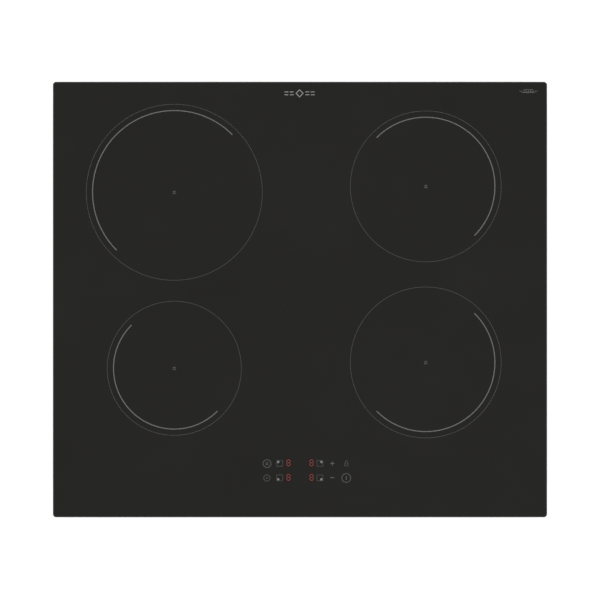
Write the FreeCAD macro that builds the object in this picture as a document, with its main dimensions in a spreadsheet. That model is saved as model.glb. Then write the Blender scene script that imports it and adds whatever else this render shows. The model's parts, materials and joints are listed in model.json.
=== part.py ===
import FreeCAD, Part
import math
import os
import re

import Sketcher

# A built-in induction hob with four zones: a glass-ceramic top bonded to steel rails, a sheet steel case
# below it, two sprung coil carriers, two power boards with heat sinks and fans, a touch control under the
# front edge and a mains terminal box at the rear right. Millimetres. The origin is the middle of the
# footprint at the underside of the case's pressed feet, +Z is up, -Y is the front where the cook stands.

SIZES = {
    # glass top
    "glass_width": 590,
    "glass_depth": 520,
    "glass_thickness": 4,
    "glass_corner": 4,
    "glass_bevel": 1.2,
    "hob_height": 60,
    # sheet steel case
    "side_overhang": 20,
    "front_overhang": 19,
    "case_sheet": 0.8,
    "case_corner": 4,
    "wall_gap": 2,
    "foot_height": 4,
    "foot_radius": 16,
    "foot_inset": 42,
    "bead_width": 12,
    "bead_height": 1.2,
    "bead_length": 300,
    # seal, adhesive and rails under the glass rim
    "seal_inset": 2,
    "seal_width": 10,
    "seal_thickness": 2,
    "seal_joint": 0.4,
    "adhesive_thickness": 0.8,
    "adhesive_width": 9,
    "rail_sheet": 1.2,
    "rail_leg": 14,
    "rail_flange": 12,
    "rail_play": 0.2,
    "rail_end_gap": 1,
    # screws
    "screw_radius": 2,
    "screw_head_radius": 3.8,
    "screw_head_height": 2.2,
    "screw_length": 7,
    "screw_play": 0.3,
    "rail_screw_drop": 8,
    "side_screw_step": 200,
    "end_screw_step": 220,
    # cooking zones: radii of the heated circles and places from the case's edges
    "rear_left_radius": 105,
    "rear_right_radius": 90,
    "front_left_radius": 80,
    "front_right_radius": 90,
    "zone_side": 125,
    "rear_left_back": 113,
    "rear_right_back": 106,
    "front_left_front": 159,
    "front_right_front": 166,
    # coils
    "former_margin": 9,
    "former_sheet": 1.5,
    "former_lift": 5.5,
    "former_bore": 12,
    "former_hub": 20,
    "former_foot": 5,
    "hub_play": 0.4,
    "turn_pitch": 3,
    "turn_web": 0.4,
    "mica_thickness": 0.5,
    "mica_bore": 10,
    "mica_gap": 0.3,
    "glass_gap": 0.1,
    "ferrite_length": 40,
    "ferrite_width": 10,
    "ferrite_height": 4.5,
    "ferrite_start": 19,
    "channel_wall": 1.2,
    "window_width": 9,
    "sensor_radius": 8,
    # sprung coil carriers
    "carrier_sheet": 1,
    "carrier_gap": 24,
    "carrier_side": 12,
    "carrier_back": 10,
    "carrier_lip": 5,
    "carrier_travel": 3,
    "lead_hole": 7,
    "lead_hole_side": 62,
    "lead_hole_along": 58,
    "spring_height": 14,
    "spring_radius": 4.5,
    "spring_wire": 0.5,
    "spring_pitch": 3,
    "post_radius": 6,
    "pin_radius": 3,
    "pin_play": 0.5,
    "pin_rise": 3,
    "post_inset": 14,
    "rear_post_inset": 57,
    # power boards
    "board_width": 200,
    "board_depth": 180,
    "board_thickness": 1.6,
    "board_lift": 8,
    "board_gap": 5,
    "board_inset": 8,
    "spacer_radius": 4,
    "sink_width": 72,
    "sink_end": 12,
    "sink_base": 3,
    "sink_lift": 6,
    "sink_clearance": 1.2,
    "fin_thickness": 1.4,
    "fin_count": 10,
    "sink_shift": 22,
    "device_width": 16,
    "device_length": 21,
    "device_thickness": 5,
    "capacitor_width": 32,
    "capacitor_depth": 15,
    "capacitor_height": 21,
    "capacitor_pitch": 22,
    "choke_radius": 12,
    "choke_core": 4,
    "choke_wire": 1.1,
    # fans
    "fan_size": 80,
    "fan_height": 20,
    "fan_corner": 6,
    "fan_side": 138,
    "fan_back": 121,
    "fan_bolt_inset": 4.5,
    "fan_bore_wall": 2,
    "blade_clearance": 1.2,
    "hub_radius": 15,
    "hub_wall": 1.5,
    "shaft_radius": 1.5,
    "bearing_play": 0.05,
    "bearing_radius": 4,
    "strut_width": 4,
    "strut_height": 3,
    "intake_slot_width": 4,
    "intake_slot_length": 32,
    "intake_slot_pitch": 8,
    "intake_slot_count": 8,
    "intake_bridge": 6,
    "outlet_slot_width": 4,
    "outlet_slot_height": 20,
    "outlet_slot_pitch": 13,
    "outlet_slot_count": 17,
    "outlet_slot_base": 14,
    # touch control
    "control_width": 190,
    "control_depth": 44,
    "control_height": 12,
    "control_wall": 1.6,
    "control_top_gap": 1,
    "control_leg_radius": 5,
    "control_board_lift": 2.5,
    "control_board_play": 1,
    "key_front_inset": 47,
    "key_row_pitch": 17,
    "display_side": 13.7,
    "selector_side": 24,
    "level_side": 38.8,
    "lock_side": 55.5,
    "display_width": 9.8,
    "display_depth": 14,
    "key_spring_radius": 3.6,
    "key_spring_wire": 0.4,
    "key_spring_pitch": 1.9,
    "key_pad_thickness": 0.4,
    # mains terminal box
    "terminal_width": 90,
    "terminal_depth": 52,
    "terminal_height": 29,
    "terminal_wall": 2,
    "terminal_side": 62,
    "terminal_flange": 4,
    "terminal_play": 0.5,
    "block_width": 62,
    "block_depth": 15,
    "block_height": 13,
    "block_pole_pitch": 12,
    "block_pole_radius": 3.4,
    "block_wire_radius": 2,
    "pole_screw_radius": 2.9,
    "gland_radius": 7,
    "gland_wall": 2,
    "gland_flange": 11,
    "gland_lip": 2.5,
    "clamp_half": 18,
    "clamp_depth": 9,
    "clamp_thickness": 3,
    "clamp_opening": 6,
    "clamp_screw": 13,
    "cover_lap": 3,
    "cover_thickness": 1.4,
    "cover_drop": 1.4,
    "hinge_radius": 1.2,
    "hinge_play": 0.08,
    "hinge_lug": 3,
    "hinge_lug_half": 1.9,
    "hinge_side_play": 0.4,
    "tongue_width": 12,
    "tongue_height": 7,
    # mains filter board
    "filter_width": 104,
    "filter_depth": 54,
    "filter_side": 44,
    "filter_inset": 5,
    # worktop brackets
    "bracket_sheet": 1.5,
    "bracket_width": 26,
    "bracket_reach": 18,
    "bracket_seat": 14,
    "bracket_top": 42,
    "bracket_screw": 30,
    "bracket_up": 11,
    "bracket_down": 6,
    "bracket_along": 118,
    # wiring
    "coil_lead_radius": 1.6,
    "mains_lead_radius": 1.3,
    "board_lead_radius": 1.1,
    "fan_lead_radius": 0.8,
    "ribbon_thickness": 0.9,
    "ribbon_width": 14,
    "ribbon_side": 60,
    "terminal_post": 5,
    "terminal_post_height": 9,
    "terminal_post_pitch": 3.5,
    "connector_height": 7,
}

DERIVED = {
    "case_half_width": "glass_width / 2 - side_overhang",
    "case_half_depth": "glass_depth / 2 - front_overhang",
    "glass_under": "hob_height - glass_thickness",
    "wall_top": "glass_under - wall_gap",
    "floor_top": "foot_height + case_sheet",
    "inner_half_width": "case_half_width - case_sheet",
    "inner_half_depth": "case_half_depth - case_sheet",
    "rail_top": "glass_under - adhesive_thickness",
    "screw_hole": "screw_radius + screw_play",
    "rail_screw_z": "wall_top - rail_screw_drop",
    "rail_out_x": "inner_half_width - rail_play",
    "rail_out_y": "inner_half_depth - rail_play",
    "rail_end_half": "rail_out_x - case_corner",
    "rail_side_half": "rail_out_y - rail_flange - rail_end_gap",
    "bracket_low": "bracket_seat - bracket_sheet",
    # zone centres
    "zone_x": "case_half_width - zone_side",
    "rear_left_y": "case_half_depth - rear_left_back",
    "rear_right_y": "case_half_depth - rear_right_back",
    "front_left_y": "front_left_front - case_half_depth",
    "front_right_y": "front_right_front - case_half_depth",
    # coil stack, from the glass down
    "mica_top": "glass_under - glass_gap",
    "winding_top": "mica_top - mica_thickness - mica_gap",
    "winding_mid": "winding_top - turn_radius",
    "turn_radius": "sqrt(turn_pitch * turn_pitch / 4 + turn_web * turn_web)",
    "former_top": "winding_top - 2 * turn_radius",
    "former_under": "former_top - former_sheet",
    "carrier_top": "former_under - former_lift",
    "carrier_under": "carrier_top - carrier_sheet",
    "carrier_outer": "inner_half_width - carrier_side",
    "carrier_rear": "inner_half_depth - carrier_back",
    "carrier_front": "control_back + 4",
    "post_inner_x": "carrier_gap / 2 + post_inset",
    "post_outer_x": "carrier_outer - post_inset",
    "post_front_y": "carrier_front + post_inset",
    "post_rear_y": "carrier_rear - rear_post_inset",
    "post_top": "carrier_under - spring_height",
    # fans and boards
    "fan_x": "fan_side",
    "fan_y": "inner_half_depth - fan_back",
    "fan_bolt": "fan_size / 2 - fan_bolt_inset",
    "fan_bore": "fan_size / 2 - fan_bore_wall",
    "blade_tip": "fan_bore - blade_clearance",
    "board_rear": "fan_y - fan_size / 2 - board_gap",
    "board_front": "board_rear - board_depth",
    "board_inner": "fan_side - board_width / 2",
    "board_outer": "fan_side + board_width / 2",
    "board_under": "floor_top + board_lift",
    "board_top": "board_under + board_thickness",
    "sink_x": "fan_side - sink_shift",
    "sink_under": "board_top + sink_lift",
    "sink_top": "carrier_under - carrier_travel - sink_clearance",
    "capacitor_x": "board_outer - capacitor_width / 2 - 14",
    # control
    "key_front_y": "key_front_inset - glass_depth / 2",
    "key_rear_y": "key_front_y + key_row_pitch",
    "control_y": "key_front_y + key_row_pitch / 2",
    "control_front": "control_y - control_depth / 2",
    "control_back": "control_y + control_depth / 2",
    "control_rim": "glass_under - control_top_gap",
    "control_under": "control_rim - control_height",
    "control_board_under": "control_under + control_wall + control_board_lift",
    "control_board_top": "control_board_under + board_thickness",
    # terminal box
    "terminal_x": "inner_half_width - terminal_side",
    "terminal_left": "terminal_x - terminal_width / 2",
    "terminal_right": "terminal_x + terminal_width / 2",
    "terminal_rear": "inner_half_depth - terminal_play",
    "terminal_front": "terminal_rear - terminal_depth",
    "terminal_roof": "floor_top + terminal_height",
    "hinge_y": "terminal_front - cover_lap",
    "hinge_z": "foot_height - cover_drop",
    "terminal_low": "foot_height - 0.2",
    "terminal_ceiling": "terminal_roof - terminal_wall",
    "gland_z": "terminal_ceiling - gland_flange - 0.6",
    "block_rear": "terminal_front + terminal_wall + 6 + block_depth",
    "clamp_y": "terminal_rear - terminal_wall - 10 - clamp_depth",
    "block_under": "terminal_ceiling - block_height",
    "filter_left": "filter_side",
    "filter_rear": "carrier_rear + 4",
    "filter_front": "filter_rear - filter_depth",
    "supply_x": "board_inner + 20",
    "fan_plug_x": "fan_side + 27",
    "window_y": "terminal_front + terminal_wall + 3",
    "window_z": "block_under + block_height / 2 - 1.5",
}

# name: (side of the hob, radius, centre y)
ZONES = {
    "rear_left": (-1, "rear_left_radius", "rear_left_y"),
    "rear_right": (1, "rear_right_radius", "rear_right_y"),
    "front_left": (-1, "front_left_radius", "front_left_y"),
    "front_right": (1, "front_right_radius", "front_right_y"),
}
SIDES = {"left": -1, "right": 1}
WORD = re.compile(r"[a-z]+(?:_[a-z]+)+")
TURN = {
    "X": FreeCAD.Rotation(FreeCAD.Vector(0, 1, 0), 90),
    "-X": FreeCAD.Rotation(FreeCAD.Vector(0, 1, 0), -90),
    "Y": FreeCAD.Rotation(FreeCAD.Vector(1, 0, 0), -90),
    "-Y": FreeCAD.Rotation(FreeCAD.Vector(1, 0, 0), 90),
    "Z": FreeCAD.Rotation(),
    "-Z": FreeCAD.Rotation(FreeCAD.Vector(1, 0, 0), 180),
}
BLADES = 7
BARS = 8

doc = FreeCAD.newDocument("induction_hob")
nodes = []


# ---------------------------------------------------------------- sheet, expressions and placing


def vector(x, y, z=0.0):
    return FreeCAD.Vector(x, y, z)


def expression(text, inside_derived=False):
    """text with each named size pointed at its spreadsheet cell."""

    def cell(match):
        word = match.group()
        if word in SIZES:
            return "Sizes." + word
        if word in DERIVED:
            return word if inside_derived else "Derived." + word
        raise NameError(f"no size named {word}")

    return WORD.sub(cell, text)


def fill_sheets():
    """The driving sizes as plain numbers, and a second sheet of what follows from them."""
    sizes = doc.addObject("Spreadsheet::Sheet", "Sizes")
    for row, (alias, value) in enumerate(SIZES.items(), 1):
        sizes.set(f"A{row}", alias)
        sizes.set(f"B{row}", str(value))
        sizes.setAlias(f"B{row}", alias)
    derived = doc.addObject("Spreadsheet::Sheet", "Derived")
    for row, alias in enumerate(DERIVED, 1):
        derived.setAlias(f"B{row}", alias)
    for row, (alias, formula) in enumerate(DERIVED.items(), 1):
        derived.set(f"A{row}", alias)
        derived.set(f"B{row}", "=" + expression(formula, inside_derived=True))
    doc.recompute()


def make_probe():
    made = doc.addObject("App::FeaturePython", "probe")
    made.addProperty("App::PropertyFloat", "Value")
    return made


def number(text):
    """What an expression comes to, for shapes that are worked out in this script."""
    probe.setExpression("Value", expression(text))
    probe.recompute()
    return probe.Value


def bind(made, **properties):
    for name, text in properties.items():
        made.setExpression(name, expression(text))
    return made


def place(made, x="0", y="0", z="0", turn=None):
    if turn is not None:
        made.Placement = FreeCAD.Placement(vector(0, 0), turn)
    for axis, text in zip("xyz", (x, y, z)):
        made.setExpression(f"Placement.Base.{axis}", expression(text))
    return made


def side(sign, low, high):
    """A span along X on the right side, or its mirror image on the left."""
    return (low, high) if sign > 0 else (f"-({high})", f"-({low})")


def at_side(sign, x):
    return x if sign > 0 else f"-({x})"


def about(middle, half):
    return (f"({middle}) - ({half})", f"({middle}) + ({half})")


# ---------------------------------------------------------------- primitives and booleans


def block(name, x, y, z):
    """A box between two places along each axis."""
    made = doc.addObject("Part::Box", name)
    for length, (low, high) in zip(("Length", "Width", "Height"), (x, y, z)):
        bind(made, **{length: f"({high}) - ({low})"})
    return place(made, x[0], y[0], z[0])


def rod(name, radius, length, at, axis="Z"):
    made = doc.addObject("Part::Cylinder", name)
    bind(made, Radius=radius, Height=length)
    return place(made, *at, turn=TURN[axis])


def cut(name, base, *tools):
    made = doc.addObject("Part::Cut", name)
    made.Base = base
    made.Tool = tools[0] if len(tools) == 1 else fuse(name + "_tools", *tools)
    return made


def fuse(name, *parts):
    made = doc.addObject("Part::MultiFuse", name)
    made.Shapes = list(parts)
    return made


def tube(name, outer, inner, length, at, axis="Z"):
    outside = rod(name + "_outside", outer, length, at, axis)
    return cut(name, outside, rod(name + "_hole", inner, length, at, axis))


def group(name, parts):
    made = doc.addObject("Part::Compound", name)
    made.Links = list(parts)
    return made


def own_shape(name, shape):
    made = doc.addObject("Part::Feature", name)
    made.Shape = shape
    return made


def node(label, made):
    """Marks an object as one of the hob's pieces, whose label names its file."""
    made.Label = label
    nodes.append(made)
    return made


# ---------------------------------------------------------------- PartDesign bodies


class Piece:
    """A PartDesign body, with its sketches and features bound to the sheets."""

    def __init__(self, name):
        self.name = name
        self.body = doc.addObject("PartDesign::Body", name)

    def origin(self, role):
        return next(f for f in self.body.Origin.OriginFeatures if f.Role == role)

    def sketch(self, plane="XY", offset="0"):
        made = self.body.newObject("Sketcher::SketchObject", self.name + "_sketch")
        made.AttachmentSupport = (self.origin(plane + "_Plane"), [""])
        made.MapMode = "FlatFace"
        made.setExpression("AttachmentOffset.Base.z", expression(offset))
        return made

    def feature(self, kind, sketch, **properties):
        made = self.body.newObject("PartDesign::" + kind, self.name + "_" + kind.lower())
        made.Profile = sketch
        return bind(made, **properties)

    def pad(self, sketch, length, down=False, taper=0):
        made = self.feature("Pad", sketch, Length=length)
        made.Reversed = down
        made.TaperAngle = -taper
        return made

    def pocket(self, sketch, length, up=False, taper=0):
        made = self.feature("Pocket", sketch, Length=length)
        made.Reversed = up
        made.TaperAngle = -taper
        return made

    def through(self, sketch):
        made = self.feature("Pocket", sketch)
        made.Type = "ThroughAll"
        made.Midplane = True
        return made

    def repeat(self, feature, axis, pitch, count):
        made = self.body.newObject("PartDesign::LinearPattern", self.name + "_row")
        made.Originals = [feature]
        made.Direction = (self.origin(axis + "_Axis"), [""])
        bind(made, Length=f"({pitch}) * (({count}) - 1)", Occurrences=count)
        self.body.Tip = made
        return made

    def around(self, feature, count):
        made = self.body.newObject("PartDesign::PolarPattern", self.name + "_ring")
        made.Originals = [feature]
        made.Axis = (self.origin("Z_Axis"), [""])
        made.Angle = 360
        made.Occurrences = count
        self.body.Tip = made
        return made

    def bevel_top(self, size):
        """A chamfer round the body's upper rim."""
        doc.recompute()
        top = self.body.Shape.BoundBox.ZMax
        rim = [f"Edge{n}" for n, e in enumerate(self.body.Shape.Edges, 1) if e.BoundBox.ZMin > top - 0.01]
        base = self.body.Tip
        made = self.body.newObject("PartDesign::Chamfer", self.name + "_bevel")
        made.Base = (base, rim)
        return bind(made, Size=size)


def drive(sketch, kind, *place_and_value):
    """A dimension in a sketch, held by an expression."""
    *where, text = place_and_value
    n = sketch.addConstraint(Sketcher.Constraint(kind, *where, number(text)))
    sketch.setExpression(f"Constraints[{n}]", expression(text))


def rectangle(sketch, x, y):
    (left, right), (low, high) = [[number(t) for t in span] for span in (x, y)]
    corners = [vector(left, low), vector(right, low), vector(right, high), vector(left, high)]
    first = sketch.GeometryCount
    for n in range(4):
        sketch.addGeometry(Part.LineSegment(corners[n], corners[(n + 1) % 4]), False)
    for n in range(4):
        sketch.addConstraint(Sketcher.Constraint("Coincident", first + n, 2, first + (n + 1) % 4, 1))
        sketch.addConstraint(Sketcher.Constraint(("Horizontal", "Vertical")[n % 2], first + n))
    drive(sketch, "DistanceX", -1, 1, first, 1, x[0])
    drive(sketch, "DistanceX", -1, 1, first + 1, 2, x[1])
    drive(sketch, "DistanceY", -1, 1, first, 1, y[0])
    drive(sketch, "DistanceY", -1, 1, first + 1, 2, y[1])
    return sketch


def rounded(sketch, x, y, radius):
    """A rectangle with round corners."""
    (left, right), (low, high) = [[number(t) for t in span] for span in (x, y)]
    corner, up = number(radius), vector(0, 0, 1)
    centres = [
        vector(right - corner, low + corner),
        vector(right - corner, high - corner),
        vector(left + corner, high - corner),
        vector(left + corner, low + corner),
    ]
    outward = [vector(0, -corner), vector(corner, 0), vector(0, corner), vector(-corner, 0)]
    first = sketch.GeometryCount
    for n in range(4):
        start, end = centres[n - 1] + outward[n], centres[n] + outward[n]
        sketch.addGeometry(Part.LineSegment(start, end), False)
        turn = (n - 1) * math.pi / 2
        arc = Part.ArcOfCircle(Part.Circle(centres[n], up, corner), turn, turn + math.pi / 2)
        sketch.addGeometry(arc, False)
    for n in range(8):
        sketch.addConstraint(Sketcher.Constraint("Tangent", first + n, 2, first + (n + 1) % 8, 1))
    for n in range(4):
        sketch.addConstraint(Sketcher.Constraint(("Horizontal", "Vertical")[n % 2], first + 2 * n))
    for n in range(3):
        sketch.addConstraint(Sketcher.Constraint("Equal", first + 1, first + 3 + 2 * n))
    drive(sketch, "Radius", first + 1, radius)
    drive(sketch, "DistanceX", -1, 1, first + 2, 1, x[1])
    drive(sketch, "DistanceX", -1, 1, first + 6, 1, x[0])
    drive(sketch, "DistanceY", -1, 1, first, 1, y[0])
    drive(sketch, "DistanceY", -1, 1, first + 4, 1, y[1])
    return sketch


def circle(sketch, radius, x="0", y="0"):
    n = sketch.GeometryCount
    sketch.addGeometry(Part.Circle(vector(number(x), number(y)), vector(0, 0, 1), number(radius)), False)
    drive(sketch, "Radius", n, radius)
    drive(sketch, "DistanceX", -1, 1, n, 3, x)
    drive(sketch, "DistanceY", -1, 1, n, 3, y)
    return sketch


def slot(sketch, x, y):
    """A slot with round ends that fills the given spans; it runs along the longer one."""
    (left, right), (low, high) = [[number(t) for t in span] for span in (x, y)]
    across = right - left < high - low
    radius = min(right - left, high - low) / 2
    start = vector(left + radius, low + radius)
    end = vector(right - radius, high - radius)
    turn = math.pi / 2 if across else 0
    beside = vector(radius, 0) if across else vector(0, -radius)
    first = sketch.GeometryCount
    up = vector(0, 0, 1)
    sketch.addGeometry(Part.LineSegment(start + beside, end + beside), False)
    sketch.addGeometry(
        Part.ArcOfCircle(Part.Circle(end, up, radius), turn - math.pi / 2, turn + math.pi / 2), False
    )
    sketch.addGeometry(Part.LineSegment(end - beside, start - beside), False)
    sketch.addGeometry(
        Part.ArcOfCircle(Part.Circle(start, up, radius), turn + math.pi / 2, turn + 3 * math.pi / 2), False
    )
    for n in range(4):
        sketch.addConstraint(Sketcher.Constraint("Tangent", first + n, 2, first + (n + 1) % 4, 1))
    sketch.addConstraint(Sketcher.Constraint("Vertical" if across else "Horizontal", first))
    sketch.addConstraint(Sketcher.Constraint("Equal", first + 1, first + 3))
    wide, tall = f"(({x[1]}) - ({x[0]}))", f"(({y[1]}) - ({y[0]}))"
    half = f"{wide if across else tall} / 2"
    drive(sketch, "Radius", first + 1, half)
    for arc, x_end, y_end, sign in ((first + 3, x[0], y[0], "+"), (first + 1, x[1], y[1], "-")):
        if across:
            drive(sketch, "DistanceY", -1, 1, arc, 3, f"({y_end}) {sign} {half}")
        else:
            drive(sketch, "DistanceX", -1, 1, arc, 3, f"({x_end}) {sign} {half}")
    if across:
        drive(sketch, "DistanceX", -1, 1, first + 1, 3, f"(({x[0]}) + ({x[1]})) / 2")
    else:
        drive(sketch, "DistanceY", -1, 1, first + 1, 3, f"(({y[0]}) + ({y[1]})) / 2")
    return sketch


# ---------------------------------------------------------------- glass top, rim and case


def glass_top():
    piece = Piece("glass_top")
    outline = piece.sketch(offset="glass_under")
    x, y = ("-glass_width / 2", "glass_width / 2"), ("-glass_depth / 2", "glass_depth / 2")
    rounded(outline, x, y, "glass_corner")
    piece.pad(outline, "glass_thickness")
    piece.bevel_top("glass_bevel")
    node("glass_top", piece.body)


def rim():
    """The foam seal that meets the worktop and the adhesive bead that holds the glass on its rails."""
    out_x, out_y = "(glass_width / 2 - seal_inset)", "(glass_depth / 2 - seal_inset)"
    z = ("glass_under - seal_thickness", "glass_under")
    strips = []
    for sign in (-1, 1):
        along = f"({out_y} - seal_width - seal_joint)"
        strips.append(block("seal_side", side(sign, f"{out_x} - seal_width", out_x), (f"-{along}", along), z))
        strips.append(block("seal_end", (f"-{out_x}", out_x), side(sign, f"{out_y} - seal_width", out_y), z))
    node("seal_strip", group("seal", strips))
    z = ("rail_top", "glass_under")
    loops = [
        block("adhesive_loop", (f"-(rail_out_x - {inset})", f"rail_out_x - {inset}"),
              (f"-(rail_out_y - {inset})", f"rail_out_y - {inset}"), z)
        for inset in ("1", "(1 + adhesive_width)")
    ]
    node("glass_adhesive", cut("adhesive", *loops))


def rails():
    """Angle rails inside the case's walls: the glass is bonded to their flanges, the case is screwed to
    their legs."""
    flange_z = ("rail_top - rail_sheet", "rail_top")
    leg_z = ("rail_top - rail_leg", "rail_top")
    made = []
    for sign in (-1, 1):
        for name, out, along, screw_step in (
            ("side", "rail_out_x", "rail_side_half", "side_screw_step"),
            ("end", "rail_out_y", "rail_end_half", "end_screw_step"),
        ):
            across_flange = side(sign, f"{out} - rail_flange", out)
            across_leg = side(sign, f"{out} - rail_sheet", out)
            span = (f"-{along}", along)
            flange = (across_flange, span) if name == "side" else (span, across_flange)
            leg = (across_leg, span) if name == "side" else (span, across_leg)
            rail = fuse(
                "rail_" + name,
                block("rail_flange", *flange, flange_z),
                block("rail_leg", *leg, leg_z),
            )
            holes = []
            for step in (-1, 0, 1):
                place_in_plan = (at_side(sign, f"{out} - 2 * rail_sheet"), f"{step} * {screw_step}")
                if name == "end":
                    place_in_plan = place_in_plan[::-1]
                axis = ("" if sign > 0 else "-") + ("X" if name == "side" else "Y")
                at = (*place_in_plan, "rail_screw_z")
                holes.append(rod("rail_hole", "screw_radius", "3 * rail_sheet", at, axis))
            made.append(cut("rail_" + name + "_drilled", rail, *holes))
    node("mounting_rails", group("rails", made))


def bottom_case():
    """A tray of sheet steel with pressed feet and beads, fan intakes, air outlets, the terminal opening
    and its screw holes."""
    piece = Piece("bottom_case")
    outline = piece.sketch(offset="foot_height")
    x, y = ("-case_half_width", "case_half_width"), ("-case_half_depth", "case_half_depth")
    rounded(outline, x, y, "case_corner")
    piece.pad(outline, "wall_top - foot_height")
    inside = piece.sketch(offset="floor_top")
    x, y = ("-inner_half_width", "inner_half_width"), ("-inner_half_depth", "inner_half_depth")
    rounded(inside, x, y, "case_corner - case_sheet")
    piece.pocket(inside, "wall_top - floor_top", up=True)
    press_shape(piece, "foot_height", foot_circles)
    press_shape(piece, "bead_height", bead_slots)
    for sign in (-1, 1):
        intake_slots(piece, sign)
    outlet_slots(piece)
    openings(piece)
    node("bottom_case", piece.body)


def press_shape(piece, height, outline):
    """Sheet pressed downward: the same outline added below and taken out of the upper face."""
    below = piece.sketch(offset="foot_height")
    outline(below, "0")
    piece.pad(below, height, down=True, taper=18)
    above = piece.sketch(offset="floor_top")
    outline(above, "case_sheet")
    piece.pocket(above, height, taper=18)


def foot_circles(sketch, less):
    """Three feet on the left, two on the right and one beside the terminal box."""
    across, along = "(case_half_width - foot_inset)", "(case_half_depth - foot_inset)"
    places = [(f"{i} * {across}", f"{j} * {along}") for i in (-1, 1) for j in (-1, 0, 1) if (i, j) != (1, 1)]
    for x, y in places + [("filter_left + filter_width / 2", along)]:
        circle(sketch, f"foot_radius - {less}", x, y)


def bead_slots(sketch, less):
    for middle in ("-12", "12"):
        x = about(middle, f"bead_width / 2 - {less}")
        slot(sketch, x, about("0", f"bead_length / 2 - {less}"))


def intake_slots(piece, sign):
    """Two columns of slots under a fan."""
    for step in ("-", "+"):
        sketch = piece.sketch(offset="floor_top")
        middle = f"{at_side(sign, 'fan_x')} {step} (intake_slot_length + intake_bridge) / 2"
        first = "fan_y - intake_slot_pitch * (intake_slot_count - 1) / 2"
        slot(sketch, about(middle, "intake_slot_length / 2"), about(first, "intake_slot_width / 2"))
        cutter = piece.pocket(sketch, "2 * case_sheet")
        piece.repeat(cutter, "Y", "intake_slot_pitch", "intake_slot_count")


def outlet_slots(piece):
    """A row of upright slots in the front wall, and a shorter row in the rear wall's left part."""
    z = ("outlet_slot_base", "outlet_slot_base + outlet_slot_height")
    for at, middle, up, count in (
        ("case_half_depth", "0", False, "outlet_slot_count"),
        ("-case_half_depth", "-fan_x", True, "outlet_slot_count / 2 + 0.5"),
    ):
        sketch = piece.sketch("XZ", at)
        first = f"{middle} - outlet_slot_pitch * ({count} - 1) / 2"
        slot(sketch, about(first, "outlet_slot_width / 2"), z)
        cutter = piece.pocket(sketch, "2 * case_sheet", up=up)
        piece.repeat(cutter, "X", "outlet_slot_pitch", count)


def openings(piece):
    """The terminal opening, the cable hole and the screw holes."""
    bottom = piece.sketch(offset="floor_top")
    rectangle(
        bottom,
        ("terminal_left - terminal_play", "terminal_right + terminal_play"),
        ("terminal_front - terminal_play", "terminal_rear"),
    )
    for x, y in floor_screws():
        circle(bottom, "screw_hole", x, y)
    piece.pocket(bottom, "2 * case_sheet")
    rear = piece.sketch("XZ", "-case_half_depth")
    circle(rear, "gland_radius + gland_wall + screw_play", "terminal_x", "gland_z")
    piece.pocket(rear, "3 * case_sheet", up=True)
    sides = piece.sketch("YZ")
    for step in (-1, 0, 1):
        circle(sides, "screw_hole", f"{step} * side_screw_step", "rail_screw_z")
    for step in (-1, 1):
        circle(sides, "screw_hole", f"{step} * bracket_along", "bracket_screw")
    piece.through(sides)
    ends = piece.sketch("XZ")
    for step in (-1, 0, 1):
        circle(ends, "screw_hole", f"{step} * end_screw_step", "rail_screw_z")
    piece.through(ends)


def floor_screws():
    """Places of the screws that come up through the case's floor: fans, boards, posts and control legs."""
    found = []
    for sign in (-1, 1):
        found += [(x, y) for x, y in fan_bolts(sign)]
        found += [(x, y) for x, y in board_corners(sign)]
        found += [(x, y) for x, y in post_places(sign)]
    found += control_legs()
    return found


def fan_bolts(sign):
    x, y = at_side(sign, "fan_x"), "fan_y"
    return [(f"{x} + {i} * fan_bolt", f"{y} + {j} * fan_bolt") for i in (-1, 1) for j in (-1, 1)]


def board_corners(sign):
    xs = (at_side(sign, "board_inner + board_inset"), at_side(sign, "board_outer - board_inset"))
    return [(x, y) for x in xs for y in ("board_front + board_inset", "board_rear - board_inset")]


def post_places(sign):
    xs = (at_side(sign, "post_inner_x"), at_side(sign, "post_outer_x"))
    return [(x, y) for x in xs for y in ("post_front_y", "post_rear_y")]


def control_legs():
    half = "(control_width / 2 - control_leg_radius)"
    ys = ("control_front + control_leg_radius", "control_back - control_leg_radius")
    return [(x, y) for x in (f"-{half}", half) for y in ys]


def master_screw():
    """One pan head screw with a cross recess, its head's seat at the origin and its shank up +Z."""
    head = rod("screw_head", "screw_head_radius", "screw_head_height", ("0", "0", "0"), "-Z")
    rounded = doc.addObject("Part::Fillet", "screw_dome")
    rounded.Base = head
    doc.recompute()
    top = [n for n, e in enumerate(head.Shape.Edges, 1) if e.Closed and e.Vertexes[0].Point.z < -0.1]
    rounded.Edges = [(n, number("screw_head_height") * 0.6, number("screw_head_height") * 0.6) for n in top]
    shank = rod("screw_shank", "screw_radius", "screw_length", ("0", "0", "0"))
    solid = fuse("screw_solid", rounded, shank)
    deep = ("-2 * screw_head_height", "-screw_head_height * 0.4")
    recess = [
        block("screw_recess", about("0", a), about("0", b), deep)
        for a, b in (("screw_radius", "screw_radius * 0.22"), ("screw_radius * 0.22", "screw_radius"))
    ]
    return cut("screw_master", solid, *recess)


def screws():
    """The hob's identical screws, with their heads outside the case."""
    master = master_screw()
    made = []

    def drive_in(x, y, z, direction):
        link = doc.addObject("App::Link", "screw")
        link.LinkedObject = master
        made.append(place(link, x, y, z, TURN[direction]))

    for x, y in floor_screws():
        drive_in(x, y, "foot_height", "Z")
    for sign, inward in ((-1, ""), (1, "-")):
        for step in (-1, 0, 1):
            wall_x, wall_y = at_side(sign, "case_half_width"), at_side(sign, "case_half_depth")
            drive_in(wall_x, f"{step} * side_screw_step", "rail_screw_z", inward + "X")
            drive_in(f"{step} * end_screw_step", wall_y, "rail_screw_z", inward + "Y")
        for step in (-1, 1):
            outside = at_side(sign, "case_half_width + bracket_sheet")
            drive_in(outside, f"{step} * bracket_along", "bracket_screw", inward + "X")
    node("case_screws", group("screws", made))


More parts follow.
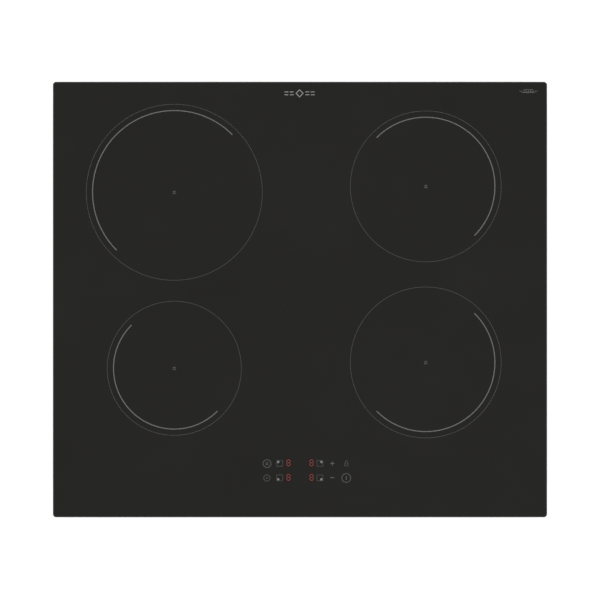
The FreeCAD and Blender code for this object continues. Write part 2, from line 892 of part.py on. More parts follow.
def brackets():
    """Four angle brackets that slide up against the worktop's underside and are held by one screw each."""
    for end, step in (("front", -1), ("rear", 1)):
        for name, sign in SIDES.items():
            label = f"bracket_{end}_{name}"
            y = about(f"{step} * bracket_along", "bracket_width / 2")
            wall = "case_half_width"
            leg_x = side(sign, wall, f"{wall} + bracket_sheet")
            leg = block(label + "_leg", leg_x, y, ("bracket_low", "bracket_top"))
            reach = side(sign, wall, f"{wall} + bracket_reach")
            flange = block(label + "_flange", reach, y, ("bracket_low", "bracket_seat"))
            low = "bracket_screw - bracket_up"
            high = "bracket_screw + bracket_down"
            start = at_side(sign, f"{wall} - bracket_sheet")
            axis = "X" if sign > 0 else "-X"
            middle = f"{step} * bracket_along"
            opening = [
                rod(label + "_end", "screw_hole", "3 * bracket_sheet", (start, middle, z), axis)
                for z in (low, high)
            ]
            across = side(sign, f"{wall} - bracket_sheet", f"{wall} + 2 * bracket_sheet")
            opening.append(block(label + "_gap", across, about(middle, "screw_hole"), (low, high)))
            node(label, cut(label + "_slotted", fuse(label + "_solid", leg, flange), *opening))


# ---------------------------------------------------------------- coils and their carriers


def carrier_plate(name, sign):
    """An aluminium plate with turned-down lips, guide holes at its corners and a hole under each coil."""
    piece = Piece("coil_carrier_" + name)
    x = side(sign, "carrier_gap / 2", "carrier_outer")
    y = ("carrier_front", "carrier_rear")
    outline = piece.sketch(offset="carrier_under")
    rectangle(outline, x, y)
    piece.pad(outline, "carrier_sheet")
    lips = piece.sketch(offset="carrier_under")
    rectangle(lips, x, ("carrier_front", "carrier_front + carrier_sheet"))
    rectangle(lips, x, ("carrier_rear - carrier_sheet", "carrier_rear"))
    piece.pad(lips, "carrier_lip", down=True)
    holes = piece.sketch(offset="carrier_top")
    for px, py in post_places(sign):
        circle(holes, "pin_radius + pin_play", px, py)
    for zone, (zone_sign, radius, zy) in ZONES.items():
        if zone_sign == sign:
            zx = at_side(sign, "zone_x")
            circle(holes, "former_bore", zx, zy)
            circle(holes, "lead_hole", *lead_hole(zone))
    piece.pocket(holes, "2 * carrier_sheet")
    node("coil_carrier_" + name, piece.body)


def lead_hole(zone):
    """Where a coil's leads pass down through its carrier: beside the coil, towards the hob's middle."""
    sign, radius, zy = ZONES[zone]
    return at_side(sign, "lead_hole_side"), f"{zy} {'+' if zone.startswith('front') else '-'} lead_hole_along"


def coil(zone):
    """Former and winding of one zone, built round the origin and placed under the glass."""
    sign, radius, zy = ZONES[zone]
    zx = at_side(sign, "zone_x")
    outer = f"({radius} - former_margin)"
    coil_former(zone, outer, zx, zy)
    winding = own_shape("coil_winding_" + zone, winding_shape(outer))
    node("coil_winding_" + zone, place(winding, zx, zy, "winding_mid"))


def coil_former(zone, outer, zx, zy):
    """A moulded spider: disc, rim and hub above, ferrite channels and four feet below."""
    piece = Piece("coil_former_" + zone)
    disc = piece.sketch()
    circle(disc, outer)
    circle(disc, "former_bore")
    piece.pad(disc, "former_sheet")
    rims = piece.sketch()
    circle(rims, outer)
    circle(rims, f"{outer} - former_sheet")
    circle(rims, "former_hub")
    circle(rims, "former_hub - former_sheet")
    piece.pad(rims, "former_sheet + turn_radius")
    channel = piece.sketch()
    wall = "channel_wall"
    bar_x = ("ferrite_start", "ferrite_start + ferrite_length")
    channel_y = about("0", f"ferrite_width / 2 + {wall}")
    rectangle(channel, (f"{bar_x[0]} - {wall}", f"{bar_x[1]} + {wall}"), channel_y)
    rectangle(channel, bar_x, about("0", "ferrite_width / 2"))
    ring = piece.pad(channel, "ferrite_height * 0.6", down=True)
    piece.around(ring, BARS)
    turned = piece.sketch()
    turned.AttachmentOffset = FreeCAD.Placement(vector(0, 0), FreeCAD.Rotation(vector(0, 0, 1), 22.5))
    slot(turned, ("former_hub + 12", f"{outer} - 20"), about("0", "window_width / 2"))
    window = piece.pocket(turned, "former_sheet", up=True)
    piece.around(window, BARS)
    feet = piece.sketch()
    feet.AttachmentOffset = FreeCAD.Placement(vector(0, 0), FreeCAD.Rotation(vector(0, 0, 1), 45))
    circle(feet, "former_foot", f"{outer} - former_foot - 0.5", "0")
    foot = piece.pad(feet, "former_lift", down=True)
    piece.around(foot, 4)
    node("coil_former_" + zone, place(piece.body, zx, zy, "former_under"))


def winding_shape(outer):
    """A flat coil of litz wire, each turn a round bead joined to the next by a thin web."""
    pitch, web, bead = number("turn_pitch"), number("turn_web"), number("turn_radius")
    inner = number("former_hub + hub_play")
    turns = int((number(f"{outer} - former_sheet - hub_play") - inner) / pitch)
    line = []
    for sign, order in ((1, range(turns)), (-1, reversed(range(turns)))):
        for n in order:
            low, high = inner + n * pitch, inner + (n + 1) * pitch
            a, b = (low, high) if sign > 0 else (high, low)
            crest = vector((low + high) / 2, 0, sign * bead)
            line.append(Part.Arc(vector(a, 0, sign * web), crest, vector(b, 0, sign * web)).toShape())
    last = inner + turns * pitch
    line.insert(turns, Part.LineSegment(vector(last, 0, web), vector(last, 0, -web)).toShape())
    line.append(Part.LineSegment(vector(inner, 0, -web), vector(inner, 0, web)).toShape())
    face = Part.Face(Part.Wire(line))
    return face.revolve(vector(0, 0), vector(0, 0, 1), 360)


def coil_parts(name, sign):
    """Under and over the coils of one side: ferrite bars, temperature sensors and mica discs."""
    bars, sensors, discs = [], [], []
    for zone, (zone_sign, radius, zy) in ZONES.items():
        if zone_sign != sign:
            continue
        zx = at_side(sign, "zone_x")
        piece = Piece("ferrites_" + zone)
        sketch = piece.sketch()
        bar_x = ("ferrite_start", "ferrite_start + ferrite_length")
        rectangle(sketch, bar_x, about("0", "ferrite_width / 2"))
        bar = piece.pad(sketch, "ferrite_height", down=True)
        piece.around(bar, BARS)
        bars.append(place(piece.body, zx, zy, "former_under"))
        holder = rod("sensor_holder", "sensor_radius", "former_sheet + 3", (zx, zy, "former_under - 3"))
        tip = rod("sensor_tip", "sensor_radius / 2", "mica_top - former_top", (zx, zy, "former_top"))
        collar = rod("sensor_collar", "former_bore + 2", "1.2", (zx, zy, "former_under - 1.2"))
        sensors.append(fuse("sensor_" + zone, holder, tip, collar))
        at = (zx, zy, "mica_top - mica_thickness")
        disc_radius = f"{radius} - former_margin"
        discs.append(tube("mica_" + zone, disc_radius, "mica_bore", "mica_thickness", at))
    node("ferrite_bars_" + name, group("ferrites_" + name, bars))
    node("temperature_sensors_" + name, group("sensors_" + name, sensors))
    node("mica_discs_" + name, group("mica_" + name, discs))


def posts():
    """Posts on the case's floor: a shoulder that a spring stands on and a pin that guides a carrier."""
    made = []
    for sign in (-1, 1):
        for x, y in post_places(sign):
            shoulder = rod("post_shoulder", "post_radius", "post_top - floor_top", (x, y, "floor_top"))
            pin = rod("post_pin", "pin_radius", "carrier_top + pin_rise - post_top", (x, y, "post_top"))
            bore = rod("post_bore", "screw_radius", "screw_length", (x, y, "floor_top"))
            made.append(cut("post", fuse("post_solid", shoulder, pin), bore))
    node("spring_posts", group("posts", made))


def spring(name, radius, wire, pitch, height, x, y, z):
    """A wire helix standing between two heights."""
    coil_height = number(f"{height} - 2 * {wire}")
    helix = Part.makeLongHelix(number(pitch), coil_height, number(radius))
    start = vector(number(radius), 0, 0)
    climb = number(pitch) / (2 * math.pi * number(radius))
    section = Part.Wire(Part.makeCircle(number(wire), start, vector(0, 1, climb)))
    body = Part.Wire(helix).makePipeShell([section], True, True)
    return place(own_shape(name, body), x, y, f"{z} + {wire}")


def carrier_springs(name, sign):
    sizes = ("spring_radius", "spring_wire", "spring_pitch", "spring_height")
    made = [spring("carrier_spring", *sizes, x, y, "post_top") for x, y in post_places(sign)]
    node("carrier_springs_" + name, group("springs_" + name, made))


# ---------------------------------------------------------------- power electronics


def power_board(name, sign):
    """One side's circuit board with its heat sink."""
    x = side(sign, "board_inner", "board_outer")
    board = block("board_" + name, x, ("board_front", "board_rear"), ("board_under", "board_top"))
    holes = [
        rod("board_hole", "screw_hole", "board_thickness", (a, b, "board_under"))
        for a, b in board_corners(sign)
    ]
    node("power_board_" + name, cut("board_drilled_" + name, board, *holes))
    heat_sink(name, sign)


def capacitors(sign):
    """Four film capacitors along a board's outer edge."""
    made = []
    for n in range(4):
        x = about(at_side(sign, "capacitor_x"), "capacitor_width / 2")
        y = about(f"board_front + 26 + {n} * capacitor_pitch", "capacitor_depth / 2")
        can = block("capacitor", x, y, ("board_top", "board_top + capacitor_height"))
        rounded = doc.addObject("Part::Fillet", "capacitor_rounded")
        rounded.Base = can
        doc.recompute()
        rounded.Edges = [(n, 1.0, 1.0) for n in upper_edges(can)]
        made.append(rounded)
    return made


def upper_edges(box):
    top = box.Shape.BoundBox.ZMax
    return [n for n, e in enumerate(box.Shape.Edges, 1) if max(v.Point.z for v in e.Vertexes) > top - 0.01]


def heat_sink(name, sign):
    piece = Piece("heat_sink_" + name)
    x = about(at_side(sign, "sink_x"), "sink_width / 2")
    y = ("board_front + sink_end", "board_rear - sink_end")
    base = piece.sketch(offset="sink_under")
    rectangle(base, x, y)
    piece.pad(base, "sink_base")
    fin = piece.sketch(offset="sink_under")
    rectangle(fin, (x[0], f"{x[0]} + fin_thickness"), y)
    first = piece.pad(fin, "sink_top - sink_under")
    piece.repeat(first, "X", "(sink_width - fin_thickness) / (fin_count - 1)", "fin_count")
    node("heat_sink_" + name, piece.body)


def power_devices(sign):
    """Three flat power devices clamped under the heat sink, with their legs bent down to the board."""
    made = []
    for step in (-1, 0, 1):
        x = at_side(sign, "sink_x")
        y = f"(board_front + board_rear) / 2 + {step} * 46"
        top = ("sink_under - device_thickness", "sink_under")
        body = block("device_body", about(x, "device_length / 2"), about(y, "device_width / 2"), top)
        legs = [body]
        for leg in (-1, 0, 1):
            leg_y = about(f"{y} + {leg} * 5.4", "0.6")
            inner = f"{x} + device_length / 2"
            legs.append(block("device_leg", (inner, f"{inner} + 4"), leg_y, about("sink_under - 3", "0.35")))
            bent = (f"{inner} + 3.3", f"{inner} + 4")
            legs.append(block("device_leg_down", bent, leg_y, ("board_top", "sink_under - 2.65")))
        made.append(fuse("device", *legs))
    return made


def choke(name, x, y, z):
    """A toroid choke lying flat on its board: a ring core and the turns wound round it."""
    ring, core, wire = number("choke_radius"), number("choke_core"), number("choke_wire")
    turns = []
    for n in range(14):
        loop = Part.makeTorus(core + wire * 0.6, wire)
        loop.rotate(vector(0, 0), vector(1, 0, 0), 90)
        loop.translate(vector(ring, 0, 0))
        loop.rotate(vector(0, 0), vector(0, 0, 1), 40 + n * 22)
        turns.append(loop)
    shape = Part.makeTorus(ring, core).multiFuse(turns)
    return place(own_shape(name, shape), x, y, f"{z} + choke_core + 1.6 * choke_wire")


def terminal_place(zone):
    """Where a coil's two leads land on its power board."""
    y = "board_front + 26" if zone.startswith("front") else "board_rear - 34"
    return at_side(ZONES[zone][0], "board_inner + 12"), y


def terminal_posts():
    """Pairs of brass posts, one post for each coil lead."""
    made = []
    for zone in ZONES:
        x, y = terminal_place(zone)
        for step in (-1, 1):
            middle = f"{y} + {step} * terminal_post_pitch"
            top = ("board_top", "board_top + terminal_post_height")
            across = about(x, "terminal_post / 2")
            made.append(block("brass_post", across, about(middle, "terminal_post / 2"), top))
    return made


def power_parts():
    """What stands on the two power boards."""
    node("power_devices", group("devices", power_devices(-1) + power_devices(1)))
    node("board_capacitors", group("capacitors", capacitors(-1) + capacitors(1)))
    chokes = [
        choke("inductor", at_side(sign, "capacitor_x"), "board_rear - 34", "board_top")
        for sign in SIDES.values()
    ]
    node("board_inductors", group("inductors", chokes))
    node("coil_terminals", group("terminals", terminal_posts()))
    z = ("board_top", "board_top + connector_height")
    sockets = [block("socket", x, y, z) for x, y in sockets_on_boards()]
    node("board_sockets", group("sockets", sockets))


def sockets_on_boards():
    """Nylon sockets: one for the control's ribbon, and on each board one for its supply and one for
    its fan."""
    found = [(about("-ribbon_side", "ribbon_width / 2 + 1.5"), ("board_front + 3", "board_front + 11"))]
    for sign in SIDES.values():
        found.append((about(at_side(sign, "supply_x"), "6"), ("board_rear - 10", "board_rear - 3")))
        found.append((about(at_side(sign, "fan_plug_x"), "4"), ("board_rear - 10", "board_rear - 3")))
    return found


def spacers():
    """Snap-in spacers that hold the boards off the case's floor."""
    made = []
    for sign in (-1, 1):
        for x, y in board_corners(sign):
            body = tube("spacer", "spacer_radius", "screw_radius", "board_lift", (x, y, "floor_top"))
            tip = rod("spacer_tip", "screw_radius", "board_thickness + 2", (x, y, "board_under"))
            made.append(fuse("spacer_whole", body, tip))
    for x, y in filter_corners():
        body = rod("filter_spacer", "spacer_radius", "board_lift", (x, y, "floor_top"))
        tip = rod("filter_spacer_tip", "screw_radius", "board_thickness + 2", (x, y, "board_under"))
        made.append(fuse("filter_spacer_whole", body, tip))
    node("board_spacers", group("spacers", made))


def filter_corners():
    xs = ("filter_left + filter_inset", "filter_left + filter_width - filter_inset")
    return [(x, y) for x in xs for y in ("filter_front + filter_inset", "filter_rear - filter_inset")]


def mains_filter():
    """The filter board with a ring choke, film capacitors, a relay and its screw-clamp connectors."""
    x = ("filter_left", "filter_left + filter_width")
    board = block("filter_sheet", x, ("filter_front", "filter_rear"), ("board_under", "board_top"))
    holes = [
        rod("filter_hole", "screw_hole", "board_thickness", (a, b, "board_under"))
        for a, b in filter_corners()
    ]
    node("filter_board", cut("filter_drilled", board, *holes))
    made = [choke("filter_choke", "filter_left + 72", "filter_front + 30", "board_top")]
    for at, width, depth, height in (
        ((34, 42), 30, 12, 17),
        ((34, 26), 26, 11, 15),
        ((95, 26), 10, 26, 19),
        ((12, 26), 10, 20, 16),
        ((34, 8), 24, 9, 10),
    ):
        low = (f"filter_left + {at[0] - width / 2}", f"filter_front + {at[1] - depth / 2}")
        made.append(
            block("filter_part", (low[0], f"{low[0]} + {width}"), (low[1], f"{low[1]} + {depth}"),
                  ("board_top", f"board_top + {height}"))
        )
    node("filter_parts", group("filter_things", made))


def fan(name, sign):
    """An axial fan on the case's floor: a square frame with a bearing, and the impeller that turns in it."""
    x, y = at_side(sign, "fan_x"), "fan_y"
    piece = Piece("fan_frame_" + name)
    outline = piece.sketch()
    rounded(outline, about("0", "fan_size / 2"), about("0", "fan_size / 2"), "fan_corner")
    piece.pad(outline, "fan_height")
    bore = piece.sketch(offset="fan_height")
    circle(bore, "fan_bore")
    for i in (-1, 1):
        for j in (-1, 1):
            circle(bore, "screw_radius", f"{i} * fan_bolt", f"{j} * fan_bolt")
    piece.pocket(bore, "fan_height")
    hub = piece.sketch(offset="fan_height - strut_height")
    circle(hub, "hub_radius")
    piece.pad(hub, "strut_height")
    strut = piece.sketch(offset="fan_height - strut_height")
    rectangle(strut, ("hub_radius - 1", "fan_bore + 1"), about("0", "strut_width / 2"))
    arm = piece.pad(strut, "strut_height")
    piece.around(arm, 4)
    bearing = piece.sketch(offset="fan_height - strut_height")
    circle(bearing, "bearing_radius")
    piece.pad(bearing, "fan_height - strut_height - 6", down=True)
    hole = piece.sketch(offset="fan_height - 1")
    circle(hole, "shaft_radius + bearing_play")
    piece.pocket(hole, "fan_height")
    node("fan_frame_" + name, place(piece.body, x, y, "floor_top"))
    impeller(name, x, y)


def impeller(name, x, y):
    """Hub cup, shaft and seven pitched blades, hung from the frame's bearing."""
    label = "fan_impeller_" + name
    top = "fan_height - strut_height - 1"
    cup = cut(
        label + "_cup",
        rod(label + "_hub", "hub_radius", f"{top} - 2", ("0", "0", "2")),
        rod(label + "_hollow", "hub_radius - hub_wall", "fan_height", ("0", "0", "2 + hub_wall")),
    )
    shaft = rod(label + "_shaft", "shaft_radius", "fan_height - 5", ("0", "0", "2"))
    tip, root, height = number("blade_tip"), number("hub_radius") - 0.7, number(top) - 2
    start = vector(0, 0, 2)
    swept = Part.makeCylinder(tip, height, start).cut(Part.makeCylinder(root, height, start))
    blades = [blade_shape(n, tip, 2 + height / 2).common(swept) for n in range(BLADES)]
    ring = own_shape(label + "_blades", Part.makeCompound(blades))
    node(label, place(fuse(label + "_solid", cup, shaft, ring), x, y, "floor_top"))


def blade_shape(n, tip, middle):
    """One blade, twisted from a steep root to a flatter and longer tip."""
    sections = []
    for reach, half, angle in ((0.28, 6.5, 50), (0.64, 9, 38), (1.06, 11, 28)):
        corners = [vector(i * half, 0, j * 0.7) for i, j in ((-1, -1), (1, -1), (1, 1), (-1, 1))]
        outline = Part.makePolygon(corners + corners[:1])
        outline.rotate(vector(0, 0), vector(0, 1, 0), angle)
        outline.translate(vector(0, tip * reach, middle))
        sections.append(outline)
    made = Part.makeLoft(sections, True)
    made.rotate(vector(0, 0), vector(0, 0, 1), n * 360 / BLADES)
    return made


# ---------------------------------------------------------------- touch control


def control():
    """A shallow tray on four legs with the control board, four displays and ten key springs."""
    piece = Piece("control_tray")
    outline = piece.sketch(offset="control_under")
    x, y = ("-control_width / 2", "control_width / 2"), ("control_front", "control_back")
    rounded(outline, x, y, "2 * control_wall")
    piece.pad(outline, "control_height")
    inside = piece.sketch(offset="control_under + control_wall")
    inner_x = ("-control_width / 2 + control_wall", "control_width / 2 - control_wall")
    rectangle(inside, inner_x, ("control_front + control_wall", "control_back - control_wall"))
    piece.pocket(inside, "control_height", up=True)
    gate = piece.sketch(offset="control_rim")
    rectangle(gate, about("-ribbon_side", "ribbon_width / 2 + 1"), ("control_back - 3", "control_back + 1"))
    piece.pocket(gate, "control_rim - control_board_under")
    ledge = piece.sketch(offset="control_under + control_wall")
    legs = piece.sketch(offset="control_under + control_wall")
    for px, py in control_legs():
        circle(ledge, "control_leg_radius - 1", px, py)
        circle(legs, "control_leg_radius", px, py)
    piece.pad(ledge, "control_board_lift")
    piece.pad(legs, "control_under + control_wall - floor_top", down=True)
    bores = piece.sketch(offset="floor_top")
    for px, py in control_legs():
        circle(bores, "screw_radius", px, py)
    piece.pocket(bores, "screw_length", up=True)
    node("control_tray", piece.body)
    control_board()


def key_places():
    """The ten touch keys: four zone selectors, two functions and two level keys, the lock and the switch."""
    rear, front = "key_rear_y", "key_front_y"
    found = [(at_side(sign, "selector_side"), y) for sign in (-1, 1) for y in (rear, front)]
    found += [(at_side(sign, "level_side"), y) for sign in (-1, 1) for y in (rear, front)]
    return found + [("lock_side", rear), ("lock_side", front)]


def control_board():
    play = "control_wall + control_board_play"
    x = (f"-control_width / 2 + {play}", f"control_width / 2 - ({play})")
    y = (f"control_front + {play}", f"control_back - ({play})")
    sheet = block("control_sheet", x, y, ("control_board_under", "control_board_top"))
    level = "control_board_top"
    chips = [
        block("chip", about(px, half), about("control_back - 11", half), (level, f"{level} + {high}"))
        for px, half, high in (("0", "5", "1.4"), ("78", "3", "1.8"), ("-84", "4", "3"))
    ]
    socket_y = ("control_back - 14", "control_back - 9")
    socket_x = about("-ribbon_side", "ribbon_width / 2 + 1.5")
    socket = block("ribbon_socket", socket_x, socket_y, (level, f"{level} + 4"))
    node("control_board", fuse("control_board_whole", sheet, socket, *chips))
    shown = []
    for sign in SIDES.values():
        for py in ("key_rear_y", "key_front_y"):
            px = about(at_side(sign, "display_side"), "display_width / 2")
            height = (level, "glass_under - 0.3")
            shown.append(block("display", px, about(py, "display_depth / 2"), height))
    node("displays", group("display_set", shown))
    springs = []
    for px, py in key_places():
        sizes = ("key_spring_radius", "key_spring_wire", "key_spring_pitch")
        height = "glass_under - key_pad_thickness - control_board_top"
        coil = spring("key_spring", *sizes, height, px, py, level)
        pad = rod("key_pad", "key_spring_radius + key_spring_wire", "key_pad_thickness",
                  (px, py, "glass_under - key_pad_thickness"))
        springs += [coil, pad]
    node("touch_springs", group("springs", springs))


# ---------------------------------------------------------------- mains terminal box


def terminal_box():
    """A box that is open below, with a flange on the case's floor, hinge lugs, clamp bosses and the wire
    windows."""
    x, y = ("terminal_left", "terminal_right"), ("terminal_front", "terminal_rear")
    outside = block("terminal_outside", x, y, ("terminal_low", "terminal_roof"))
    wall = "terminal_wall"
    hollow = block(
        "terminal_hollow", (f"{x[0]} + {wall}", f"{x[1]} - {wall}"), (f"{y[0]} + {wall}", f"{y[1]} - {wall}"),
        ("terminal_low - 1", "terminal_ceiling"),
    )
    flange = block(
        "terminal_rim", (f"{x[0]} - terminal_flange", f"{x[1]} + terminal_flange"),
        (f"{y[0]} - terminal_flange", y[1]), ("floor_top", "floor_top + 1.5"),
    )
    ring = cut("terminal_shell", fuse("terminal_solid", outside, flange), hollow)
    extra = []
    for sign in (-1, 1):
        lug_x = hinge_span(sign)
        lug_y = ("hinge_y - hinge_lug_half", f"terminal_front + {wall}")
        extra.append(block("hinge_lug", lug_x, lug_y, ("hinge_z - hinge_lug_half", "terminal_low")))
        root_y = ("terminal_front", f"terminal_front + {wall}")
        extra.append(block("lug_root", lug_x, root_y, ("hinge_z - hinge_lug_half", "floor_top")))
        boss = (f"terminal_x + {sign} * clamp_screw", "clamp_y + clamp_depth / 2")
        low = "gland_z - clamp_opening"
        extra.append(rod("clamp_boss", "clamp_depth / 2", f"terminal_roof - {low}", (*boss, low)))
    tools = [rod("hinge_hole", "hinge_radius + hinge_play", "terminal_width + 20",
                 ("terminal_left - 10", "hinge_y", "hinge_z"), "X")]
    tools.append(rod("gland_hole", "gland_radius + gland_wall", "3 * terminal_wall",
                     ("terminal_x", "terminal_rear - 2 * terminal_wall", "gland_z"), "Y"))
    for sign in (-1, 1):
        boss = (f"terminal_x + {sign} * clamp_screw", "clamp_y + clamp_depth / 2", "gland_z - clamp_opening")
        tools.append(rod("boss_bore", "screw_radius * 0.75", "8", boss))
    tools.append(block("wire_window", ("terminal_left - 1", "terminal_left + 3"), about("window_y", "2"),
                       about("window_z", "6.3")))
    node("terminal_box", cut("terminal_cut", fuse("terminal_whole", ring, *extra), *tools))


def hinge_span(sign):
    """A hinge lug's thickness, at one end of the terminal box."""
    outer = "terminal_width / 2 - 4"
    low, high = (f"{outer} - hinge_lug", outer) if sign > 0 else (f"-({outer})", f"-({outer} - hinge_lug)")
    return f"terminal_x + {low}", f"terminal_x + {high}"


def terminal_cover():
    """The flap below the terminal box, with its hinge pins and a snap tongue."""
    half = "(terminal_width / 2 - 4 - hinge_lug - hinge_side_play)"
    thick = about("hinge_z", "cover_thickness / 2")
    plate = block("cover_plate", about("terminal_x", half), ("hinge_y", "terminal_rear - 0.7"), thick)
    ears_y = ("terminal_front + 3", "terminal_rear - 0.7")
    ears = block("cover_wide", about("terminal_x", "terminal_width / 2"), ears_y, thick)
    pin = rod("cover_pin", "hinge_radius", "terminal_width - 8 + 1",
              ("terminal_x - terminal_width / 2 + 3.5", "hinge_y", "hinge_z"), "X")
    rear = "terminal_rear - terminal_wall - 1.6"
    tongue = block("cover_tongue", about("terminal_left + 14", "tongue_width / 2"), (f"{rear} - 1.6", rear),
                   ("hinge_z", "hinge_z + tongue_height"))
    rib_x = about("terminal_x", "terminal_width / 2 - 8")
    rib_z = ("hinge_z - cover_thickness / 2 - 0.6", "hinge_z")
    ribs = [
        block("cover_rib", rib_x, about(f"terminal_front + {n}", "0.5"), rib_z) for n in (16, 28, 40)
    ]
    node("terminal_cover", fuse("cover_whole", plate, ears, pin, tongue, *ribs))


def terminal_block():
    """Five screw terminals in a row: wires enter from the rear, screws are driven from below."""
    x = about("terminal_x", "block_width / 2")
    y = ("block_rear - block_depth", "block_rear")
    body = block("terminal_body", x, y, ("block_under", "terminal_ceiling"))
    holes, heads = [], []
    for step in (-2, -1, 0, 1, 2):
        px = f"terminal_x + {step} * block_pole_pitch"
        middle = "block_rear - block_depth / 2"
        holes.append(rod("pole_hole", "block_pole_radius", "6", (px, middle, "block_under")))
        holes.append(rod("wire_hole", "block_wire_radius", "block_depth",
                         (px, "block_rear - block_depth", "block_under + block_height / 2"), "Y"))
        head = rod("pole_screw", "pole_screw_radius", "2.4", (px, middle, "block_under + 1"))
        slit = block("pole_slit", about(px, "pole_screw_radius"), about(middle, "0.4"),
                     ("block_under", "block_under + 1.9"))
        heads.append(cut("pole_head", head, slit))
    node("terminal_block", cut("terminal_drilled", body, *holes))
    node("terminal_screws", group("pole_screws", heads))


def clamp_and_gland():
    """The bar that grips the mains cable, with its two screws, and the grommet in the rear wall."""
    low = "gland_z - clamp_opening - clamp_thickness"
    bar = block("clamp_bar", about("terminal_x", "clamp_half"), ("clamp_y", "clamp_y + clamp_depth"),
                (low, "gland_z - clamp_opening"))
    saddle = rod("clamp_saddle", "gland_radius", "clamp_depth", ("terminal_x", "clamp_y", "gland_z"), "Y")
    parts = [cut("clamp_shaped", bar, saddle)]
    for sign in (-1, 1):
        at = (f"terminal_x + {sign} * clamp_screw", "clamp_y + clamp_depth / 2", low)
        parts.append(rod("clamp_head", "pole_screw_radius", "1.8", at, "-Z"))
    node("cable_clamp", fuse("clamp_whole", *parts))
    inner = "terminal_rear - terminal_wall"
    sleeve = rod("gland_sleeve", "gland_radius + gland_wall", f"case_half_depth - ({inner})",
                 ("terminal_x", inner, "gland_z"), "Y")
    lips = [
        rod("gland_lip", "gland_flange", "gland_lip", ("terminal_x", at, "gland_z"), "Y")
        for at in (f"{inner} - gland_lip", "case_half_depth")
    ]
    bore = rod("gland_bore", "gland_radius", "terminal_depth",
               ("terminal_x", f"{inner} - gland_lip - 1", "gland_z"), "Y")
    node("cable_gland", cut("gland_cut", fuse("gland_whole", sleeve, *lips), bore))


# ---------------------------------------------------------------- wiring


def run(places, bend):
    """A path of straight lengths and bends through some places."""
    points = [vector(*(number(t) for t in at)) for at in places]
    edges = []
    start = points[0]
    for n in range(1, len(points) - 1):
        corner, after = points[n], points[n + 1]
        back, ahead = (start - corner).normalize(), (after - corner).normalize()
        half = back.getAngle(ahead) / 2
        if math.degrees(half) > 89:
            continue
        reach = bend / math.tan(half)
        first, last = corner + back * reach, corner + ahead * reach
        middle = corner + (back + ahead).normalize() * (bend / math.sin(half) - bend)
        edges += [Part.LineSegment(start, first).toShape(), Part.Arc(first, middle, last).toShape()]
        start = last
    edges.append(Part.LineSegment(start, points[-1]).toShape())
    return Part.Wire(edges)


def lead(name, radius, places, bend=3):
    """A round wire along a path."""
    path = run(places, bend)
    edge = path.Edges[0]
    first = edge.FirstParameter
    profile = Part.makeCircle(number(radius), edge.valueAt(first), edge.tangentAt(first))
    return own_shape(name, path.makePipeShell([Part.Wire(profile)], True, False))


def coil_leads(name, sign):
    """Two litz leads from each coil, through its carrier to its posts on the power board."""
    made = []
    for zone, (zone_sign, radius, zy) in ZONES.items():
        if zone_sign != sign:
            continue
        front = 1 if zone.startswith("front") else -1
        hole_x, hole_y = lead_hole(zone)
        post_x, post_y = terminal_place(zone)
        reach = f"({radius} - former_margin - 25)"
        level = "former_under - 2.6"
        turn = "board_top + terminal_post_height + 9"
        for step in (-1, 1):
            start_x = f"{at_side(sign, 'zone_x')} - {sign} * ({reach} * cos(22.5) - {step} * 2.1 * sin(22.5))"
            start_y = f"{zy} + {front} * ({reach} * sin(22.5) + {step} * 2.1 * cos(22.5))"
            side_step = f"{step} * 2.4"
            end_y = f"{post_y} + {front} * {step} * terminal_post_pitch"
            made.append(
                lead("coil_lead", "coil_lead_radius", [
                    (start_x, start_y, "former_top"),
                    (start_x, start_y, level),
                    (hole_x, f"{hole_y} + {front} * {side_step}", level),
                    (hole_x, f"{hole_y} + {front} * {side_step}", turn),
                    (post_x, end_y, turn),
                    (post_x, end_y, "board_top + terminal_post_height"),
                ], 2.4)
            )
    node("coil_leads_" + name, group("leads_" + name, made))


def mains_leads():
    """Four leads from the terminal block, through the terminal box's window, to the filter's connector."""
    pole_z = "(block_under + block_height / 2)"
    made = []
    for n, level in enumerate(("0", "3", "-3", "-6")):
        pole = f"terminal_x - {2 - n} * block_pole_pitch"
        wire_z = f"{pole_z} + {level}"
        target = f"filter_front + {17 + n * 5.5}"
        path = [(pole, "block_rear - block_depth", pole_z), (pole, "window_y", pole_z)]
        path += [(pole, "window_y", wire_z)] if level != "0" else []
        path += [
            ("terminal_left - 12", "window_y", wire_z),
            ("terminal_left - 12", target, wire_z),
            ("filter_left + 100", target, wire_z),
        ]
        made.append(lead("mains_lead", "mains_lead_radius", path, 1.4))
    node("mains_leads", group("mains", made))


def board_leads():
    """Supply leads from the filter to both power boards, and the leads of the two fans."""
    level, socket_top = "board_top + 12.6", "board_top + connector_height"
    made = []
    for step in (-1, 1):
        x, y = f"{step} * 1.6", "board_rear - 6.5"
        made.append(lead("supply_lead", "board_lead_radius", [
            (f"supply_x + {x}", "filter_front + 16", level),
            (f"supply_x + {x}", y, level),
            (f"supply_x + {x}", y, socket_top),
        ]))
        turn_y = f"filter_front + 25 + {step} * 1.6"
        made.append(lead("supply_lead", "board_lead_radius", [
            ("filter_left + 7", turn_y, level),
            (f"-supply_x + {x}", turn_y, level),
            (f"-supply_x + {x}", y, level),
            (f"-supply_x + {x}", y, socket_top),
        ]))
        for sign in SIDES.values():
            fan_x = f"{at_side(sign, 'fan_plug_x')} + {step} * 1.2"
            made.append(lead("fan_lead", "fan_lead_radius", [
                (fan_x, "fan_y - fan_size / 2", f"{socket_top} + 2"),
                (fan_x, y, f"{socket_top} + 2"),
                (fan_x, y, socket_top),
            ], 1.2))
    node("board_leads", group("board_wires", made))


